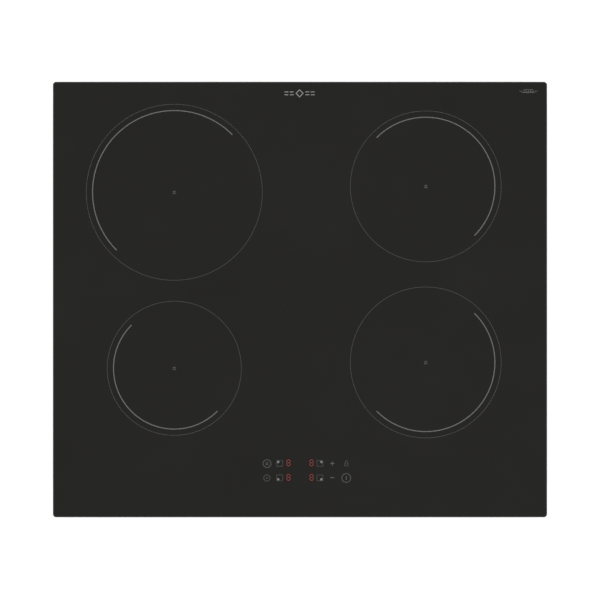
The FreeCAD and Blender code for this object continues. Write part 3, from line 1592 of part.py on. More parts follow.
def control_ribbon():
    """The flat cable from the control board, down behind its tray, to the left power board."""
    x, y = "-ribbon_side", "control_back + 2"
    over, under = "control_board_top + 2", "board_top + connector_height + 3"
    path = run([
        (x, "control_back - 9", over),
        (x, y, over),
        (x, y, under),
        (x, "board_front + 7", under),
        (x, "board_front + 7", "board_top + connector_height"),
    ], 1.5)
    start = path.Edges[0].valueAt(path.Edges[0].FirstParameter)
    wide, thick = number("ribbon_width") / 2, number("ribbon_thickness") / 2
    corners = [start + vector(i * wide, 0, j * thick) for i, j in ((-1, -1), (1, -1), (1, 1), (-1, 1))]
    profile = Part.makePolygon(corners + corners[:1])
    node("control_ribbon", own_shape("ribbon", path.makePipeShell([profile], True, False)))


# ---------------------------------------------------------------- build, check and write


probe = make_probe()
fill_sheets()
glass_top()
rim()
rails()
bottom_case()
screws()
brackets()
for side_name, side_sign in SIDES.items():
    carrier_plate(side_name, side_sign)
    carrier_springs(side_name, side_sign)
    coil_parts(side_name, side_sign)
    power_board(side_name, side_sign)
    fan(side_name, side_sign)
    coil_leads(side_name, side_sign)
for zone_name in ZONES:
    coil(zone_name)
posts()
spacers()
power_parts()
mains_filter()
control()
control_ribbon()
terminal_box()
terminal_cover()
terminal_block()
clamp_and_gland()
mains_leads()
board_leads()
doc.removeObject(probe.Name)
doc.recompute()

os.makedirs("parts", exist_ok=True)
for made in doc.Objects:
    if "Invalid" in made.State or "Error" in made.State:
        raise RuntimeError(f"{made.Name} did not compute")
for made in nodes:
    if made.Shape.isNull() or not made.Shape.isValid():
        raise RuntimeError(f"{made.Label} has no valid shape")
for made in nodes:
    made.Shape.exportStep(f"parts/{made.Label}.step")
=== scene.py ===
"""The look of a built-in induction hob.

Gives every CAD piece its material, prints the markings on the glass, lights the displays, rounds
the foam seal and gives the carrier springs and coil leads meshes of their own that ride on the
hob.
"""

import json
import math

import bmesh
import bpy
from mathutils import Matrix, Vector


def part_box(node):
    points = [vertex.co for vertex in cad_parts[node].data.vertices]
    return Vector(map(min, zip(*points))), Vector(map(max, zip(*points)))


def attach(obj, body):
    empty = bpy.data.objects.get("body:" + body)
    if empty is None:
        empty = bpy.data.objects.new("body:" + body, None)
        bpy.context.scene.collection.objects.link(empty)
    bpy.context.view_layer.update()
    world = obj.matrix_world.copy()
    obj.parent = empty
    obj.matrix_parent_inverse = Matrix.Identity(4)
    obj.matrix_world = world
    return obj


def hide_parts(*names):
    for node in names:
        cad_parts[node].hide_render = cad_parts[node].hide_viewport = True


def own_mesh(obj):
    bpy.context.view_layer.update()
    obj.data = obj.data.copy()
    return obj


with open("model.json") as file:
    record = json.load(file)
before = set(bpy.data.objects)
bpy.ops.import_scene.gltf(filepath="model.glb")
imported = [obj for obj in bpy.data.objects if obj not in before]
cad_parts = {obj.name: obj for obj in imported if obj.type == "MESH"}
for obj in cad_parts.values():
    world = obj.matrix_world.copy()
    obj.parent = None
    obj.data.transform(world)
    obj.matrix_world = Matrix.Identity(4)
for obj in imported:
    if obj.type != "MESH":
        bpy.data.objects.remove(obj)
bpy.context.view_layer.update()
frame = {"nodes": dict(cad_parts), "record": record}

MM = 0.001
GLASS_LOW, GLASS_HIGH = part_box("glass_top")
TOP = GLASS_HIGH.z

# prints: how deep they sit in the glass and how far they rise above it, in metres
INK_FOOT = 0.02 * MM
INK_RISE = 0.03 * MM
# what lies on another print rises above it by this much more, in millimetres
ON_TOP = 0.02

# tones of the prints, from black to white as 0 to 1
CIRCLE_TONE = 0.0219
ARC_TONE = 0.042
MARK_TONE = 0.0238
ORNAMENT_TONE = 0.085
SYMBOL_TONE = 0.047
KEY_TONE = 0.024
KEY_DIM_TONE = 0.0155
KEY_CLEAR_TONE = 0.0326
DOT_TONE = 0.0723

# each zone circle's radius in millimetres, and the angles between which its inner arc runs
ZONES = {
    "rear_left": (105, 45, 225),
    "rear_right": (90, -45, 135),
    "front_left": (80, 135, 315),
    "front_right": (90, 225, 405),
}
CIRCLE_WIDTH = 0.36
ARC_WIDTH = 1.05
ARC_INSET = 7.5

# the columns of the touch field, in millimetres from the middle of the glass
SELECTOR_X = 24.0
DIGIT_X = 13.75
STEP_X = 38.6

# emission of the display windows, their segments and the floor, the surround's tone, lamp power
GLOW_STRENGTH = 0.026
LED_STRENGTH = 0.115
FLOOR_GLOW = 0.86
SKY = 0.32
LIGHT_WATTS = 55

# the camera sees this width at the height of the glass, with a lens and sensor in millimetres
VIEW_WIDTH = 0.7158
LENS = 100
SENSOR = 36

# four soft lights stand on a circle at one height, in metres
LIGHT_RING = 1.75
LIGHT_HEIGHT = 2.1
FLOOR_REACH = 6.0


# ---------------------------------------------------------------- materials


class Paint:
    """A material whose Principled shader is fed by a few procedural textures."""

    def __init__(self, name, **constants):
        self.material = bpy.data.materials.new(name)
        self.material.use_nodes = True
        self.tree = self.material.node_tree
        self.shader = self.tree.nodes["Principled BSDF"]
        for socket, value in constants.items():
            self.shader.inputs[socket.replace("_", " ")].default_value = value
        self.place = self.add("ShaderNodeTexCoord").outputs["Object"]

    def add(self, kind, **settings):
        made = self.tree.nodes.new(kind)
        for key, value in settings.items():
            setattr(made, key, value)
        return made

    def join(self, output, node, socket):
        self.tree.links.new(output, node.inputs[socket])

    def stretched(self, x, y, z):
        """The object's own coordinates, scaled along each axis."""
        mapping = self.add("ShaderNodeMapping")
        mapping.inputs["Scale"].default_value = (x, y, z)
        self.join(self.place, mapping, "Vector")
        return mapping.outputs["Vector"]

    def noise(self, scale, detail=4.0, where=None):
        made = self.add("ShaderNodeTexNoise")
        made.inputs["Scale"].default_value = scale
        made.inputs["Detail"].default_value = detail
        self.join(where or self.place, made, "Vector")
        return made.outputs["Fac"]

    def cells(self, scale, output="Color", feature="F1", where=None):
        made = self.add("ShaderNodeTexVoronoi", feature=feature)
        made.inputs["Scale"].default_value = scale
        self.join(where or self.place, made, "Vector")
        return made.outputs[output]

    def bands(self, scale, direction, distortion=0.0):
        made = self.add("ShaderNodeTexWave", bands_direction=direction)
        made.inputs["Scale"].default_value = scale
        made.inputs["Distortion"].default_value = distortion
        self.join(self.place, made, "Vector")
        return made.outputs["Fac"]

    def blend(self, factor, low, high, start=0.0, end=1.0):
        """A colour that runs from low to high as the factor runs from start to end."""
        ramp = self.add("ShaderNodeValToRGB")
        stops = zip(ramp.color_ramp.elements, (start, end), (low, high))
        for element, position, colour in stops:
            element.position = position
            element.color = (*colour, 1.0)
        self.join(factor, ramp, "Fac")
        return ramp.outputs["Color"]

    def span(self, factor, low, high, start=0.0, end=1.0):
        """A number that runs from low to high as the factor runs from start to end."""
        made = self.add("ShaderNodeMapRange")
        ends = {"From Min": start, "From Max": end, "To Min": low, "To Max": high}
        for socket, value in ends.items():
            made.inputs[socket].default_value = value
        self.join(factor, made, "Value")
        return made.outputs["Result"]

    def colour(self, output):
        self.join(output, self.shader, "Base Color")
        return self

    def roughness(self, output):
        self.join(output, self.shader, "Roughness")
        return self

    def bump(self, height, depth, strength=1.0):
        """Relief of a given depth in metres."""
        made = self.add("ShaderNodeBump")
        made.inputs["Strength"].default_value = strength
        made.inputs["Distance"].default_value = depth
        self.join(height, made, "Height")
        self.join(made.outputs["Normal"], self.shader, "Normal")
        return self


def near(colour, change):
    """The colour made lighter or darker by a share of itself."""
    return tuple(min(1.0, c * (1 + change)) for c in colour)


def glass_ceramic(name):
    """Black glass-ceramic: a polished face with the faintest unevenness of tone and gloss."""
    paint = Paint(name, IOR=1.5)
    cloud = paint.noise(9.0, 3.0)
    deep, clear = (0.0028, 0.0027, 0.0023), (0.0036, 0.0035, 0.0030)
    paint.colour(paint.blend(cloud, deep, clear, 0.3, 0.7))
    return paint.roughness(paint.span(paint.noise(60.0, 6.0), 0.035, 0.06, 0.35, 0.65))


def plastic(name, colour, grain=2600.0, rough=0.5, depth=0.00002):
    """Moulded plastic with a fine spark-eroded texture."""
    paint = Paint(name)
    broad = paint.noise(35.0, 3.0)
    paint.colour(paint.blend(broad, near(colour, -0.12), near(colour, 0.1), 0.3, 0.7))
    paint.roughness(paint.span(paint.noise(180.0), rough - 0.07, rough + 0.07, 0.3, 0.7))
    return paint.bump(paint.noise(grain, 2.0), depth, 0.4)


def rubber(name, colour, pores=0.0):
    """Rubber or foam: dull, with open pores where it is foamed."""
    paint = Paint(name, Specular_IOR_Level=0.35)
    paint.colour(paint.blend(paint.noise(120.0), near(colour, -0.2), near(colour, 0.25), 0.3, 0.7))
    paint.roughness(paint.span(paint.noise(400.0), 0.68, 0.9, 0.3, 0.7))
    if pores:
        return paint.bump(paint.cells(pores, "Distance"), 0.0003, 0.8)
    return paint.bump(paint.noise(1500.0), 0.00002, 0.4)


def galvanised(name, colour):
    """Hot-dip galvanised sheet with its flower pattern of zinc crystals."""
    paint = Paint(name, Metallic=1.0)
    flowers = paint.cells(105.0, where=paint.stretched(1.0, 1.25, 1.0))
    grain = paint.add("ShaderNodeRGBToBW")
    paint.join(flowers, grain, "Color")
    tone = grain.outputs["Val"]
    paint.colour(paint.blend(tone, near(colour, -0.09), near(colour, 0.08), 0.15, 0.85))
    paint.roughness(paint.span(tone, 0.36, 0.47, 0.2, 0.8))
    return paint.bump(paint.noise(220.0, 8.0), 0.00003, 0.35)


def drawn_metal(name, colour, stretch, rough=0.34):
    """Rolled, drawn or extruded metal with fine lines along one axis."""
    paint = Paint(name, Metallic=1.0)
    lines = paint.noise(1.0, 6.0, paint.stretched(*stretch))
    paint.colour(paint.blend(lines, near(colour, -0.12), near(colour, 0.1), 0.3, 0.7))
    paint.roughness(paint.span(lines, rough - 0.08, rough + 0.1, 0.3, 0.7))
    return paint.bump(lines, 0.000008, 0.5)


def plated(name, colour, rough=0.28):
    """Small plated parts: slightly clouded metal."""
    paint = Paint(name, Metallic=1.0)
    cloud = paint.noise(420.0, 5.0)
    paint.colour(paint.blend(cloud, near(colour, -0.18), near(colour, 0.12), 0.3, 0.7))
    paint.roughness(paint.span(paint.noise(900.0), rough - 0.08, rough + 0.14, 0.3, 0.7))
    return paint.bump(paint.noise(2200.0), 0.000006, 0.4)


def litz(name, colour):
    """Varnished litz: fine twisted strands across each turn."""
    paint = Paint(name, Metallic=0.85, Coat_Weight=0.35)
    strands = paint.bands(1100.0, "DIAGONAL", distortion=3.0)
    paint.colour(paint.blend(strands, near(colour, -0.45), near(colour, 0.15), 0.1, 0.8))
    paint.roughness(paint.span(strands, 0.3, 0.5))
    return paint.bump(strands, 0.00012, 0.7)


def mica_sheet(name, colour):
    """Pressed mica: overlapping pale flakes in a tan binder."""
    paint = Paint(name, Sheen_Weight=0.1)
    flakes = paint.cells(160.0, "Distance")
    paint.colour(paint.blend(flakes, near(colour, 0.2), near(colour, -0.3), 0.05, 0.6))
    paint.roughness(paint.span(paint.noise(300.0), 0.4, 0.65, 0.3, 0.7))
    return paint.bump(flakes, 0.00004, 0.5)


def circuit_board(name, colour):
    """Solder-masked laminate: copper runs show through as a paler, raised pattern."""
    paint = Paint(name, Coat_Weight=0.3, Coat_Roughness=0.2)
    runs = paint.cells(190.0, "Distance", "DISTANCE_TO_EDGE", paint.stretched(1.0, 0.45, 1.0))
    paint.colour(paint.blend(runs, near(colour, 0.9), colour, 0.06, 0.1))
    paint.roughness(paint.span(paint.noise(250.0), 0.25, 0.42, 0.3, 0.7))
    return paint.bump(paint.span(runs, 1.0, 0.0, 0.05, 0.12), 0.00004, 0.6)


def ribbon(name, colour):
    """Flat cable: side by side conductors show as ridges along its length."""
    paint = Paint(name)
    ridges = paint.bands(250.0, "X")
    paint.colour(paint.blend(ridges, near(colour, -0.25), near(colour, 0.15)))
    paint.roughness(paint.span(paint.noise(500.0), 0.4, 0.6, 0.3, 0.7))
    return paint.bump(ridges, 0.0002, 0.7)


def braided(name, colour):
    """A silicone sleeve over fine braid."""
    paint = Paint(name)
    braid = paint.bands(900.0, "DIAGONAL", distortion=1.0)
    paint.colour(paint.blend(braid, near(colour, -0.25), near(colour, 0.1)))
    paint.roughness(paint.span(paint.noise(600.0), 0.5, 0.7, 0.3, 0.7))
    return paint.bump(braid, 0.00006, 0.6)


# each material slot's maker, and what it is given after the slot's name
SLOTS = {
    "glass_ceramic": (glass_ceramic,),
    "silicone": (rubber, (0.03, 0.03, 0.03)),
    "foam": (rubber, (0.022, 0.022, 0.023), 900.0),
    "galvanised_steel": (galvanised, (0.33, 0.345, 0.355)),
    "zinc_screws": (plated, (0.62, 0.61, 0.58)),
    "bracket_steel": (drawn_metal, (0.56, 0.57, 0.57), (40.0, 40.0, 900.0)),
    "black_nylon": (plastic, (0.022, 0.022, 0.023)),
    "white_nylon": (plastic, (0.72, 0.70, 0.64)),
    "nickel_brass": (plated, (0.75, 0.66, 0.42)),
    "grommet_rubber": (rubber, (0.025, 0.025, 0.025)),
    "carrier_aluminium": (drawn_metal, (0.76, 0.77, 0.78), (900.0, 30.0, 30.0)),
    "sink_aluminium": (drawn_metal, (0.72, 0.73, 0.74), (1200.0, 12.0, 1200.0)),
    "spring_steel": (plated, (0.5, 0.5, 0.51), 0.24),
    "post_polymer": (plastic, (0.45, 0.45, 0.43)),
    "former_polymer": (plastic, (0.55, 0.52, 0.44), 1800.0, 0.6),
    "litz_copper": (litz, (0.78, 0.36, 0.18)),
    "mica": (mica_sheet, (0.52, 0.46, 0.36)),
    "ferrite": (plastic, (0.035, 0.036, 0.038), 900.0, 0.55, 0.00005),
    "sensor_silicone": (rubber, (0.7, 0.68, 0.64)),
    "circuit_board": (circuit_board, (0.012, 0.09, 0.035)),
    "device_epoxy": (plastic, (0.02, 0.02, 0.021), 1500.0, 0.45),
    "capacitor_film": (plastic, (0.42, 0.05, 0.03), 700.0, 0.3, 0.00001),
    "enamelled_copper": (litz, (0.62, 0.24, 0.09)),
    "fan_polymer": (plastic, (0.018, 0.018, 0.019)),
    "tray_polymer": (plastic, (0.4, 0.4, 0.38)),
    "display_polymer": (plastic, (0.03, 0.03, 0.032), 600.0, 0.25, 0.000005),
    "lead_jacket": (braided, (0.5, 0.49, 0.46)),
    "ribbon_jacket": (ribbon, (0.45, 0.46, 0.48)),
}


def paint_cad():
    """Gives every CAD node the material of its slot."""
    made = {slot: maker(slot, *options).material for slot, (maker, *options) in SLOTS.items()}
    for part in frame["record"]["subparts"]:
        piece = frame["nodes"][part["node"]]
        piece.data.materials.clear()
        piece.data.materials.append(made[part["material_slot"]])


def ink(name, tone, gloss=0.35):
    """Fired ceramic print: matt, with fine grains of frit."""
    paint = Paint(name, Specular_IOR_Level=gloss)
    grains = paint.noise(3000.0, 3.0)
    colour = (tone, tone * 0.995, tone * 0.96)
    paint.colour(paint.blend(grains, near(colour, -0.15), near(colour, 0.15), 0.3, 0.7))
    return paint.roughness(paint.span(grains, 0.5, 0.65, 0.3, 0.7)).material


def lamp(name, colour, strength, body, gloss):
    """A lit LED segment seen through dark glass, a little brighter where its diode sits."""
    paint = Paint(name, Specular_IOR_Level=gloss, Roughness=0.3, Emission_Strength=strength)
    glow = paint.noise(700.0, 2.0)
    paint.colour(paint.blend(glow, near(body, -0.1), near(body, 0.1), 0.3, 0.7))
    light = paint.blend(glow, near(colour, -0.12), near(colour, 0.12), 0.3, 0.7)
    paint.join(light, paint.shader, "Emission Color")
    return paint.material


# ---------------------------------------------------------------- flat prints


def solid_piece(name, points, faces, material):
    """A closed mesh with its faces outwards, as a piece that rides on the hob."""
    mesh = bpy.data.meshes.new(name)
    mesh.from_pydata(points, [], faces)
    shell = bmesh.new()
    shell.from_mesh(mesh)
    bmesh.ops.recalc_face_normals(shell, faces=shell.faces)
    shell.to_mesh(mesh)
    shell.free()
    mesh.materials.append(material)
    piece = bpy.data.objects.new(name, mesh)
    bpy.context.scene.collection.objects.link(piece)
    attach(piece, "hob")
    return piece


class Print:
    """Thin solid shapes on the glass, gathered in one mesh. Sizes are in millimetres."""

    def __init__(self, name, material, lift=0.0):
        self.name = name
        self.material = material
        self.low = TOP - INK_FOOT
        self.high = TOP + INK_RISE + lift * MM
        self.points = []
        self.faces = []

    def wall(self, outline):
        """Adds an outline's points at both heights, and returns their first number."""
        first = len(self.points)
        for height in (self.low, self.high):
            self.points += [(x * MM, y * MM, height) for x, y in outline]
        return first

    def plate(self, outline):
        """A filled convex outline, given anticlockwise."""
        first, n = self.wall(outline), len(outline)
        self.faces.append([first + n + i for i in range(n)])
        self.faces.append([first + i for i in reversed(range(n))])
        for i in range(n):
            j = (i + 1) % n
            self.faces.append([first + i, first + j, first + n + j, first + n + i])
        return self

    def strip(self, left, right, closed):
        """A band between two lines with the same number of points."""
        n = len(left)
        a, b = self.wall(left), self.wall(right)
        for i in range(n if closed else n - 1):
            j = (i + 1) % n
            self.faces.append([b + n + i, b + n + j, a + n + j, a + n + i])
            self.faces.append([a + i, a + j, b + j, b + i])
            self.faces.append([a + j, a + i, a + n + i, a + n + j])
            self.faces.append([b + i, b + j, b + n + j, b + n + i])
        if not closed:
            for i, flip in ((0, False), (n - 1, True)):
                end = [a + i, b + i, b + n + i, a + n + i]
                self.faces.append(end[::-1] if flip else end)
        return self

    def line(self, path, width, closed=False, round_ends=False):
        """A line of even width along a path, with mitred corners."""
        n = len(path)
        pairs = []
        for i, here in enumerate(path):
            before = path[i - 1] if closed or i else None
            after = path[(i + 1) % n] if closed or i < n - 1 else None
            side = corner_normal(before, here, after) * (width / 2)
            pairs.append((Vector(here) + side, Vector(here) - side))
        if round_ends:
            pairs = [*reversed(cap(pairs[0], -1)), *pairs, *cap(pairs[-1], 1)]
        left, right = ([tuple(pair[i]) for pair in pairs] for i in (0, 1))
        return self.strip(left, right, closed)

    def ring(self, x, y, radius, width, steps=48):
        return self.line(arc(x, y, radius, 0, 360, steps)[:-1], width, closed=True)

    def cross(self, x, y, half, arm):
        """A plus sign: one bar across and two short ones that meet it."""
        self.line([(x - half, y), (x + half, y)], 2 * arm)
        for side in (-1, 1):
            self.line([(x, y + side * arm), (x, y + side * half)], 2 * arm)
        return self

    def disc(self, x, y, radius, steps=24):
        return self.plate(arc(x, y, radius, 0, 360, steps)[:-1])

    def finish(self):
        return solid_piece(self.name, self.points, self.faces, self.material)


def cap(pair, sign):
    """The pairs of points that close a line's end in a half circle."""
    middle, side = (pair[0] + pair[1]) / 2, (pair[0] - pair[1]) / 2
    ahead = Vector((side.y, -side.x)) * sign
    made = []
    for turn in (math.radians(angle) for angle in (25, 50, 75, 87)):
        centre = middle + ahead * math.sin(turn)
        made.append((centre + side * math.cos(turn), centre - side * math.cos(turn)))
    return made


def corner_normal(before, here, after):
    """The left-hand normal at a point of a path, longer at corners to keep a line's width."""
    turns = []
    for start, end in ((before, here), (here, after)):
        if start is not None and end is not None:
            step = Vector((end[0] - start[0], end[1] - start[1])).normalized()
            turns.append(Vector((-step.y, step.x)))
    middle = sum(turns, Vector((0, 0))).normalized()
    return middle / max(0.3, middle.dot(turns[0]))


def arc(x, y, radius, start, end, steps):
    """Points of an arc between two angles in degrees."""
    angles = [math.radians(start + (end - start) * i / steps) for i in range(steps + 1)]
    return [(x + radius * math.cos(a), y + radius * math.sin(a)) for a in angles]


def rounded_square(x, y, half_x, half_y, corner):
    """An outline with round corners about a centre."""
    path = []
    for n, (i, j) in enumerate(((1, 1), (-1, 1), (-1, -1), (1, -1))):
        centre = x + i * (half_x - corner), y + j * (half_y - corner)
        path += arc(*centre, corner, 90 * n, 90 * n + 90, 5)
    return path


def chevron(x, y, half, rise):
    """Three points of a roof that stands on y."""
    return [(x - half, y), (x, y + rise), (x + half, y)]


def box_middle(node):
    """The middle of a CAD piece seen from above, in millimetres."""
    low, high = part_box(node)
    return (low.x + high.x) / 2 / MM, (low.y + high.y) / 2 / MM


def zone_prints():
    """Each zone's thin full circle, its brighter inner arc and its centre mark."""
    circle = ink("ink_circle", CIRCLE_TONE)
    bow = ink("ink_arc", ARC_TONE)
    mark = ink("ink_mark", MARK_TONE)
    for zone, (radius, start, end) in ZONES.items():
        x, y = box_middle("coil_former_" + zone)
        Print("zone_circle_" + zone, circle).ring(x, y, radius, CIRCLE_WIDTH, 240).finish()
        path = arc(x, y, radius - ARC_INSET, start, end, 150)
        Print("zone_arc_" + zone, bow).line(path, ARC_WIDTH, round_ends=True).finish()
        chevrons = Print("zone_mark_" + zone, mark)
        for step in (-2.1, 0.1):
            chevrons.line(chevron(x, y + step, 1.9, 1.5), 0.7)
        chevrons.finish()


def rear_ornament(rear):
    """A lozenge between two pairs of double bars, at the middle of the rear edge."""
    x, y = -0.5, rear - 14.0
    half, bar_gap, bar_length, bar_step, level, width = 4.2, 7, 4.6, 6.4, 1.7, 1.0
    ornament = Print("rear_ornament", ink("ink_ornament", ORNAMENT_TONE))
    lozenge = [(x, y - half), (x + half, y), (x, y + half), (x - half, y)]
    ornament.line(lozenge, width, closed=True)
    for side in (-1, 1):
        for step in (0, bar_step):
            inner = x + side * (bar_gap + step)
            ends = sorted((inner, inner + side * bar_length))
            for height in (y - level, y + level):
                ornament.line([(ends[0], height), (ends[1], height)], width)
    ornament.finish()


def coil_symbol(rear):
    """A coil drawn as a row of loops, at the rear right corner."""
    x, y = GLASS_HIGH.x / MM - 22.5, rear - 11.3
    reach, half, wide, tall, turns, steps = 10.8, 6.2, 2.2, 1.9, 4.5, 120
    path = [(x - reach, y)]
    for i in range(steps + 1):
        turn = math.radians(360 * turns * i / steps + 180)
        along = x - half + 2 * half * i / steps
        path.append((along + wide * math.cos(turn), y + tall * math.sin(turn)))
    path.append((x + reach, y))
    Print("coil_symbol", ink("ink_symbol", SYMBOL_TONE)).line(path, 0.42).finish()


def key_rows():
    """The y of the front and rear rows of touch keys, from the displays under the glass."""
    low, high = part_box("displays")
    return low.y / MM + 7, high.y / MM - 7


def boost_key(x, y, material):
    """A ring round two chevrons."""
    key = Print("boost_key", material).ring(x, y, 4.65, 0.68)
    for step in (-1.7, 0.1):
        key.line(chevron(x, y + step, 1.6, 1.4), 0.65)
    key.finish()


def timer_key(x, y, material):
    """A ring round a tick."""
    key = Print("timer_key", material).ring(x, y, 3.75, 0.62)
    key.line([(x - 1.3, y + 0.3), (x - 0.3, y - 0.7), (x + 1.6, y + 1.2)], 0.62).finish()


def power_key(x, y, material):
    """A ring round an upright bar."""
    key = Print("power_key", material).ring(x, y, 5.25, 0.7)
    key.line([(x, y - 2.2), (x, y + 2.2)], 0.9).finish()


def lock_key(x, y, material):
    """A padlock: body, shackle and keyhole."""
    body_y, half, foot, shackle_y = y - 1.4, 1.3, y + 0.55, y + 1.8
    key = Print("lock_key", material)
    key.line(rounded_square(x, body_y, 2.1, 1.7, 0.4), 0.5, closed=True)
    shackle = arc(x, shackle_y, half, 180, 0, 14)
    key.line([(x - half, foot), *shackle, (x + half, foot)], 0.5)
    key.disc(x, body_y, 0.5)
    key.finish()


def selectors(front, rear, frame_ink, dot_ink):
    """The zone selectors: squares with a dot in the corner of the zone they switch."""
    squares = Print("selector_frames", frame_ink)
    dots = Print("selector_dots", dot_ink, lift=ON_TOP)
    for side in (-1, 1):
        for row, up in ((rear, 1), (front, -1)):
            x, y = side * SELECTOR_X - 0.25, row + 0.4 + up * 0.15
            squares.line(rounded_square(x, y, 3.55, 3.5, 0.7), 0.48, closed=True)
            dots.plate(rounded_square(x + side * 1.7, y + up * 1.7, 1.2, 1.2, 0.4))
    squares.finish()
    dots.finish()


def key_prints():
    """The ten key symbols, drawn where their springs are."""
    front, rear = key_rows()
    dim, plain = ink("ink_key_dim", KEY_DIM_TONE), ink("ink_key", KEY_TONE)
    clear, bright = ink("ink_key_clear", KEY_CLEAR_TONE), ink("ink_dot", DOT_TONE)
    boost_key(-39.3, rear + 0.3, plain)
    timer_key(-39.5, front + 0.2, dim)
    power_key(55.2, front + 0.1, plain)
    Print("plus_key", clear).cross(STEP_X, rear + 0.4, 2.4, 0.36).finish()
    minus = [(STEP_X - 2.6, front + 0.5), (STEP_X + 2.4, front + 0.5)]
    Print("minus_key", clear).line(minus, 0.75).finish()
    lock_key(55.3, rear + 0.6, dim)
    selectors(front, rear, dim, bright)


def digits():
    """Four lit figures: seven bars each, on a window that glows faintly."""
    front, rear = key_rows()
    glow = lamp("led_glow", (1.0, 0.03, 0.02), GLOW_STRENGTH, (0.003, 0.0013, 0.0011), 0.05)
    lit = lamp("led_segment", (1.0, 0.34, 0.29), LED_STRENGTH, (0.012, 0.008, 0.008), 0.2)
    half_width, half_height, thick = 1.95, 3.55, 0.55
    for side, hand in ((-1, "left"), (1, "right")):
        x = side * DIGIT_X
        for y, end in ((front + 0.9, "front"), (rear + 1.2, "rear")):
            window = Print(f"digit_window_{end}_{hand}", glow)
            window.plate(rounded_square(x, y, 3.3, 5.1, 1.6)).finish()
            bars = Print(f"digit_{end}_{hand}", lit, lift=ON_TOP)
            for level in (-half_height, 0, half_height):
                bars.plate(bar(x, y + level, 1.85, thick, False))
            for across in (-half_width, half_width):
                for level in (-1.8, 1.8):
                    bars.plate(bar(x + across, y + level, 1.5, thick, True))
            bars.finish()


def bar(x, y, half, thick, upright):
    """A six-sided display bar."""
    outline = [(-half, 0), (-half + thick, -thick), (half - thick, -thick), (half, 0),
               (half - thick, thick), (-half + thick, thick)]
    if upright:
        outline = [(-v, u) for u, v in outline]
    return [(x + u, y + v) for u, v in outline]


# ---------------------------------------------------------------- foam seal


# half of a strip's section, from its bonded top edge to near the middle of its free face: across
# and down, in millimetres
FOAM_SIDE = [
    (4.86, 0.0), (4.97, 0.25), (5.0, 0.8), (4.9, 1.35),
    (4.6, 1.75), (4.1, 1.93), (3.2, 1.99), (1.6, 1.96),
]
FOAM_MIDDLE = (0.0, 1.95)
FOAM_HALF = 5.0
FOAM_STEP = 6.0
FOAM_JOINT = 0.4


def foam_strip(points, faces, start, end, across):
    """One strip of cut foam tape between two points on its middle line, a little uneven."""
    section = [(-u, v) for u, v in FOAM_SIDE] + [FOAM_MIDDLE] + FOAM_SIDE[::-1]
    n = len(section)
    length = (end - start).length
    stations = max(2, round(length / FOAM_STEP) + 1)
    first = len(points)
    for i in range(stations):
        along = length * i / (stations - 1)
        middle = start + (end - start) * (along / length)
        swell = 0.05 * math.sin(along * 0.11) + 0.04 * math.sin(along * 0.37 + 1.0)
        for u, v in section:
            edge = u * (1 - 0.012 + 0.012 * swell / 0.09 * (v / 2))
            down = v * (1 - 0.03 + 0.03 * math.sin(along * 0.23 + u))
            where = middle + across * edge
            points.append((where.x * MM, where.y * MM, GLASS_LOW.z - down * MM))
    for i in range(stations - 1):
        a, b = first + i * n, first + (i + 1) * n
        for j in range(n):
            k = (j + 1) % n
            faces.append([a + j, a + k, b + k, b + j])
    last = first + (stations - 1) * n
    faces.append([first + j for j in reversed(range(n))])
    faces.append([last + j for j in range(n)])


def foam_seal():
    """The foam tape under the glass rim, which stands for the square-edged strips of the CAD."""
    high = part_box("seal_strip")[1] / MM
    points, faces = [], []
    reach = high.y - 2 * FOAM_HALF - FOAM_JOINT
    for sign in (-1, 1):
        y = sign * (high.y - FOAM_HALF)
        foam_strip(points, faces, Vector((-high.x, y)), Vector((high.x, y)), Vector((0, 1)))
        x = sign * (high.x - FOAM_HALF)
        foam_strip(points, faces, Vector((x, -reach)), Vector((x, reach)), Vector((1, 0)))
    piece = solid_piece("foam_seal", points, faces, bpy.data.materials["foam"])
    for face in piece.data.polygons:
        face.use_smooth = len(face.vertices) == 4
    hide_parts("seal_strip")


# ---------------------------------------------------------------- springs and leads under the carriers


def yielding_pieces():
    """Copies of the carrier springs and coil leads, with meshes of their own, in place of the CAD
    pieces.
    """
    for hand in ("left", "right"):
        for kind in ("carrier_springs_", "coil_leads_"):
            node = kind + hand
            piece = bpy.data.objects.new("yielding_" + node, frame["nodes"][node].data.copy())
            bpy.context.scene.collection.objects.link(piece)
            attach(piece, "hob")
            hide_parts(node)
            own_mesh(piece)


# ---------------------------------------------------------------- stage


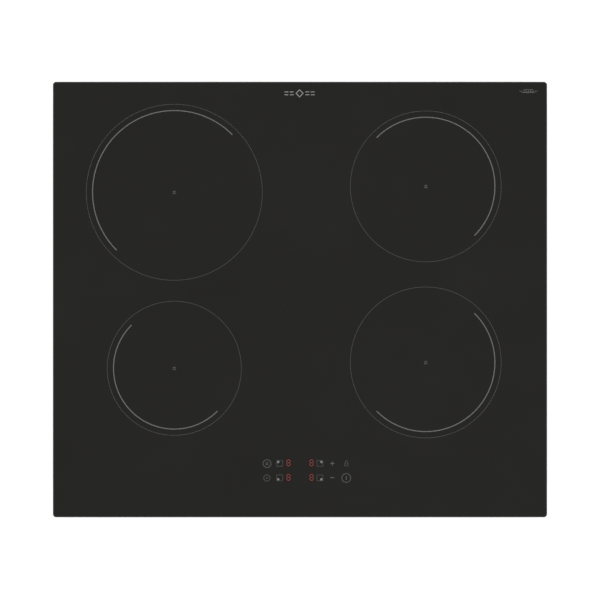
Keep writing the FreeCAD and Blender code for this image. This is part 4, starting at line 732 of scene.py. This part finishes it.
def camera():
    """Straight above the glass, as far off as the lens needs to take in the view's width."""
    data = bpy.data.cameras.new("camera")
    data.lens, data.sensor_width = LENS, SENSOR
    data.clip_end = 20
    made = bpy.data.objects.new("camera", data)
    made.location = (0, -0.54 * MM, TOP + VIEW_WIDTH * LENS / SENSOR)
    bpy.context.scene.collection.objects.link(made)
    bpy.context.scene.camera = made


def floor():
    """A pale floor that gives off most of its own light, so that it stays even."""
    mesh = bpy.data.meshes.new("floor")
    corners = ((-1, -1), (1, -1), (1, 1), (-1, 1))
    points = [(i * FLOOR_REACH, j * FLOOR_REACH, 0) for i, j in corners]
    mesh.from_pydata(points, [], [(0, 1, 2, 3)])
    paint = Paint("floor_paper", Specular_IOR_Level=0.1, Roughness=0.9,
                  Emission_Color=(1, 1, 1, 1), Emission_Strength=FLOOR_GLOW)
    paint.colour(paint.blend(paint.noise(2.0), (0.11, 0.11, 0.11), (0.12, 0.12, 0.12), 0.3, 0.7))
    mesh.materials.append(paint.material)
    ground = bpy.data.objects.new("floor", mesh)
    bpy.context.scene.collection.objects.link(ground)


def softbox(n):
    """One of the square lights, aimed at the middle of the hob."""
    turn = math.radians(45 + 90 * n)
    data = bpy.data.lights.new(f"softbox_{n}", "AREA")
    data.shape, data.size, data.energy = "SQUARE", 1.0, LIGHT_WATTS
    light = bpy.data.objects.new(f"softbox_{n}", data)
    light.location = (LIGHT_RING * math.cos(turn), LIGHT_RING * math.sin(turn), LIGHT_HEIGHT)
    light.rotation_euler = (-light.location).to_track_quat("-Z", "Y").to_euler()
    bpy.context.scene.collection.objects.link(light)


def stage():
    """The floor, a plain grey surround and four soft lights well off the vertical."""
    floor()
    world = bpy.data.worlds.new("surround")
    world.use_nodes = True
    world.node_tree.nodes["Background"].inputs["Color"].default_value = (SKY, SKY, SKY * 0.985, 1)
    bpy.context.scene.world = world
    for n in range(4):
        softbox(n)
    bpy.context.scene.view_settings.view_transform = "Standard"


camera()
paint_cad()
zone_prints()
rear_ornament(GLASS_HIGH.y / MM)
coil_symbol(GLASS_HIGH.y / MM)
key_prints()
digits()
foam_seal()
yielding_pieces()
stage()
